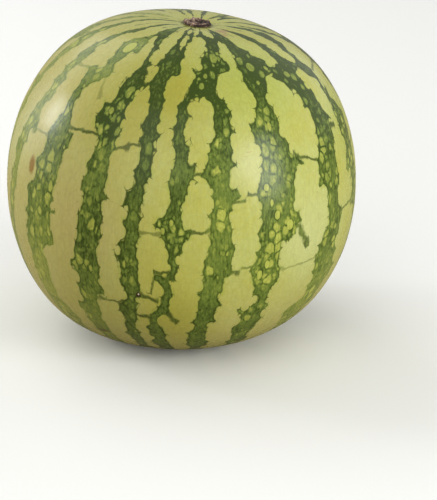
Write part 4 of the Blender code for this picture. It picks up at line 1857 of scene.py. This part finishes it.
@dataclass
class StemScar(Scar):
    """The lumpy corky disc that is left where the stalk came off.

    A pair with a name in the plural is the range of a draw.
    """

    radius: float = 7.6 * MM
    sides: int = 40
    rings: int = 6
    ring_room: float = 1.2
    halvings: int = 2
    sunk: float = 0.5 * MM
    facing_up: float = 0.9
    waves: tuple[tuple[int, float], ...] = ((3, 0.12), (5, 0.16), (8, 0.12), (13, 0.08))
    rim_radius: float = 5.8 * MM
    rim_wander: float = 0.25
    rim_width: float = 1.5 * MM
    rim_height: float = 1.2 * MM
    lump_count: int = 9
    lump_disorder: float = 0.25
    lump_places: Pair = (0.2, 0.48)
    lump_spreads: Pair = (0.7, 1.25)
    lump_height: float = 1.1 * MM
    lump_heights: Pair = (0.5, 1.1)
    grain_length: float = 1.3 * MM
    grain_height: float = 0.35 * MM
    right_darkening: float = 0.5 * MM
    right_darkening_span: Pair = (-0.3, 0.7)
    hollow_under: float = 0.1 * MM
    outline_waves: float = 0.05
    outline_grain: float = 0.03
    seed: int = 7

    def build(self) -> bpy.types.Object:
        """Model the scar in its own plane, then set it on the stem end.

        Returns:
            The finished piece.
        """
        piece = self.disc()
        store_field(piece.data, "hollow", self.shape(piece.data))
        piece.data.transform(self.seat())
        piece.data.update()
        return self.finished(piece)

    def disc(self) -> bpy.types.Object:
        """Add a low round disc, inset its top in rings and round it off.

        Returns:
            The plain disc.
        """
        deselect_all()
        bpy.ops.mesh.primitive_cylinder_add(
            vertices=self.sides, radius=self.radius, depth=self.sunk * 2, location=(0.0, 0.0, 0.0)
        )
        piece = bpy.context.object
        piece.name = "stem_scar"
        bpy.ops.object.mode_set(mode="EDIT")
        bpy.ops.mesh.select_all(action="DESELECT")
        bpy.ops.object.mode_set(mode="OBJECT")
        for polygon in piece.data.polygons:
            polygon.select = polygon.normal.z > self.facing_up
        bpy.ops.object.mode_set(mode="EDIT")
        bpy.ops.mesh.select_mode(type="FACE")
        for _ in range(self.rings):
            bpy.ops.mesh.inset(thickness=self.radius / (self.rings + self.ring_room), depth=0.0)
        bpy.ops.object.mode_set(mode="OBJECT")
        halve_faces(piece, self.halvings, Corners.ROUNDED)
        return piece

    def shape(self, mesh: bpy.types.Mesh) -> np.ndarray:
        """Raise the rim and the lumps, and sink the pits between them.

        Args:
            mesh: The disc's mesh, in its own plane.

        Returns:
            How hollow each vertex lies, from 0 to 1.
        """
        rng = np.random.default_rng(self.seed)
        points = read_points(mesh)
        around = np.arctan2(points[:, 1], points[:, 0])
        radius = np.hypot(points[:, 0], points[:, 1])
        top = smooth_step(points[:, 2], 0.0, self.sunk * 0.6)
        waves = sum(
            weight * np.sin(count * around + rng.uniform(0.0, 2.0 * math.pi))
            for count, weight in self.waves
        )
        rim_away = (radius - self.rim_radius * (1.0 + self.rim_wander * waves)) / self.rim_width
        rise = self.rim_height * (1.0 + waves) * np.exp(-(rim_away**2))
        for index in range(self.lump_count):
            push = rng.uniform(-self.lump_disorder, self.lump_disorder)
            angle = 2.0 * math.pi * (index + push) / self.lump_count
            out = self.radius * rng.uniform(*self.lump_places)
            spread = rng.uniform(*self.lump_spreads) * MM
            across, up = points[:, 0] - out * math.cos(angle), points[:, 1] - out * math.sin(angle)
            away = np.hypot(across, up) / spread
            rise += self.lump_height * rng.uniform(*self.lump_heights) * np.exp(-(away**2))
        grain = grain_at(points, self.grain_length)
        rise += self.grain_height * grain
        # Counted as more hollow towards the right side, which darkens only the cork's colour there, not its
        # form
        darkening_start, darkening_end = (share * self.radius for share in self.right_darkening_span)
        weathered = self.right_darkening * smooth_step(points[:, 0], darkening_start, darkening_end)
        hollow = smooth_step(weathered - rise, -self.rim_height, self.hollow_under)
        points[:, 2] += top * rise
        points[:, :2] *= (1.0 + self.outline_waves * waves + self.outline_grain * grain)[:, None]
        write_points(mesh, points)
        return hollow * top

    def seat(self) -> Matrix:
        """Return the move from the disc's own plane onto the leaning stem end."""
        centre = self.standing.beside_end(self.form, BESIDE_END)
        return Matrix.Translation(Vector(centre)) @ Matrix.Rotation(self.form.stem_end_lean, 4, "Y")


@dataclass
class BlossomScar(Scar):
    """The small brown scar in the middle of the resting spot."""

    sides: int = 32
    rings: int = 16
    filled: float = 0.72
    thickness: float = 0.45 * MM
    lowered: float = 0.05 * MM
    grain_length: float = 1.6 * MM
    grain_height: float = 0.16 * MM
    hollow_radii: Pair = (0.5, 0.1)
    hollowness: float = 0.8

    def build(self) -> bpy.types.Object:
        """Model the scar inside its shallow hollow.

        Returns:
            The finished piece.
        """
        radius = self.form.blossom_scar_radius * self.filled
        deselect_all()
        bpy.ops.mesh.primitive_uv_sphere_add(segments=self.sides, ring_count=self.rings, radius=radius)
        piece = bpy.context.object
        piece.name = "blossom_scar"
        points = read_points(piece.data)
        away = np.hypot(points[:, 0], points[:, 1]) / radius
        grain = np.where(points[:, 2] < 0, self.grain_height * grain_at(points, self.grain_length), 0.0)
        points[:, 2] = points[:, 2] / radius * self.thickness + grain
        points += self.standing.beside_end(self.form, math.pi - BESIDE_END)
        points[:, 2] -= self.lowered
        write_points(piece.data, points)
        outer, inner = self.hollow_radii
        store_field(piece.data, "hollow", smooth_step(-away, -outer, -inner) * self.hollowness)
        return self.finished(piece)


@dataclass(frozen=True)
class SoftLight:
    """A softbox: where it stands round the fruit, its size, power and colour."""

    name: str
    azimuth: float
    elevation: float
    distance: float
    width: float
    height: float
    power: float
    colour: tuple[float, float, float] = (1.0, 1.0, 1.0)

    def place(self, target: Vector) -> bpy.types.Object:
        """Stand the softbox up and turn it to the fruit.

        Args:
            target: What it lights.

        Returns:
            The light.
        """
        data = bpy.data.lights.new(self.name, "AREA")
        data.shape = "RECTANGLE"
        data.size = self.width
        data.size_y = self.height
        data.energy = self.power
        data.color = self.colour
        light = bpy.data.objects.new(self.name, data)
        bpy.context.scene.collection.objects.link(light)
        azimuth, elevation = math.radians(self.azimuth), math.radians(self.elevation)
        away = Vector((
            math.cos(elevation) * math.sin(azimuth),
            -math.cos(elevation) * math.cos(azimuth),
            math.sin(elevation),
        ))
        light.location = target + away * self.distance
        light.rotation_euler = (-away).to_track_quat("-Z", "Y").to_euler()
        return light


@dataclass
class Studio:
    """Floor, lights and camera. Azimuth 0 is the camera's side, and grows to the right."""

    aim_height: float = 0.086
    floor_size: float = 8.0
    floor_roughness: float = 0.7
    floor_reflection: float = 0.2
    floor_colour: Colour = tint("FAFAF8")
    floor_bounce: Colour = tint("A8A084")
    world_colour: Colour = (1.0, 0.99, 0.97, 1.0)
    world_strength: float = 0.44
    picture_width: int = 437
    picture_height: int = 500
    fruit_pixel: tuple[float, float] = (181.7, 178.6)
    focal_pixels: float = 2098.0
    sensor: float = 36.0
    camera_distance: float = 1.15
    camera_elevation: float = 18.7
    lights: tuple[SoftLight, ...] = (
        SoftLight("right window", 54.0, 12.0, 1.5, 0.60, 0.9, 16.0, (0.98, 1.0, 1.0)),
        SoftLight("left strip", -108.5, 19.5, 1.4, 0.27, 0.36, 3.8, (0.94, 0.97, 1.0)),
        SoftLight("left back wall", -140.0, 42.0, 1.8, 1.2, 1.2, 7.6),
        SoftLight("left fill", -112.0, 8.0, 1.8, 1.6, 1.3, 10.5, (0.97, 0.98, 1.0)),
        SoftLight("right back wall", 130.0, 30.0, 1.8, 1.8, 1.6, 4.4),
        SoftLight("front sky", -22.0, 36.0, 1.8, 1.8, 1.6, 10.0, (1.0, 0.98, 0.94)),
    )

    @property
    def target(self) -> Vector:
        """The point inside the fruit that the lights and the camera are set up round."""
        return Vector((0.0, 0.0, self.aim_height))

    def build(self) -> None:
        """Make the floor, the lights and the camera."""
        self.lay_floor()
        for light in self.lights:
            light.place(self.target)
        self.light_world()
        self.set_camera()
        bpy.context.scene.view_settings.view_transform = "Standard"
        LOG.info("studio: %d lights", len(self.lights))

    def lay_floor(self) -> bpy.types.Object:
        """Lay the pale floor that the fruit stands on.

        Returns:
            The floor.
        """
        deselect_all()
        bpy.ops.mesh.primitive_plane_add(size=self.floor_size, location=(0.0, 0.0, 0.0))
        floor = bpy.context.object
        floor.name = "floor"
        material, desk, shader = new_material("pale floor")
        seen = desk.add("ShaderNodeLightPath").outputs["Is Camera Ray"]
        desk.feed(shader.inputs["Base Color"], desk.mix(seen, self.floor_bounce, self.floor_colour))
        wear = desk.math("MULTIPLY_ADD", desk.noise(desk.place(), scale=6.0), 0.05, self.floor_roughness)
        desk.feed(shader.inputs["Roughness"], wear)
        shader.inputs["Specular IOR Level"].default_value = self.floor_reflection
        floor.data.materials.append(material)
        return floor

    def light_world(self) -> None:
        """Fill the surroundings with plain soft white."""
        world = bpy.data.worlds.new("surroundings")
        world.use_nodes = True
        background = world.node_tree.nodes["Background"]
        background.inputs["Color"].default_value = self.world_colour
        background.inputs["Strength"].default_value = self.world_strength
        bpy.context.scene.world = world

    def set_camera(self) -> bpy.types.Object:
        """Point the camera so that the fruit falls on its pixel of the picture.

        Returns:
            The camera.
        """
        data = bpy.data.cameras.new("camera")
        data.sensor_width = self.sensor
        data.lens = self.focal_pixels * self.sensor / max(self.picture_width, self.picture_height)
        camera = bpy.data.objects.new("camera", data)
        bpy.context.scene.collection.objects.link(camera)
        elevation = math.radians(self.camera_elevation)
        back = Vector((0.0, -math.cos(elevation), math.sin(elevation)))
        aim = (-back).to_track_quat("-Z", "Y").to_matrix().to_4x4()
        aside = math.atan((self.picture_width / 2 - self.fruit_pixel[0]) / self.focal_pixels)
        below = math.atan((self.picture_height / 2 - self.fruit_pixel[1]) / self.focal_pixels)
        turn = Matrix.Rotation(-aside, 4, "Y") @ Matrix.Rotation(-below, 4, "X")
        camera.matrix_world = Matrix.Translation(self.target + back * self.camera_distance) @ aim @ turn
        bpy.context.scene.camera = camera
        return camera


def main() -> None:
    """Build the fruit's pieces and the studio."""
    logging.basicConfig(level=logging.INFO, format="%(message)s")
    form, effects = FruitForm(), SharedEffects()
    rind = Rind(form=form, pattern=RindPattern(form), finish=RindFinish(), effects=effects)
    rind.build()
    cork, brown_cork = CorkFinish(), CorkFinish(name="blossom cork", pale=tint("8A6C48"))
    StemScar(form=form, standing=rind.standing, finish=cork, effects=effects).build()
    BlossomScar(form=form, standing=rind.standing, finish=brown_cork, effects=effects).build()
    Studio().build()


if __name__ == "__main__":
    main()
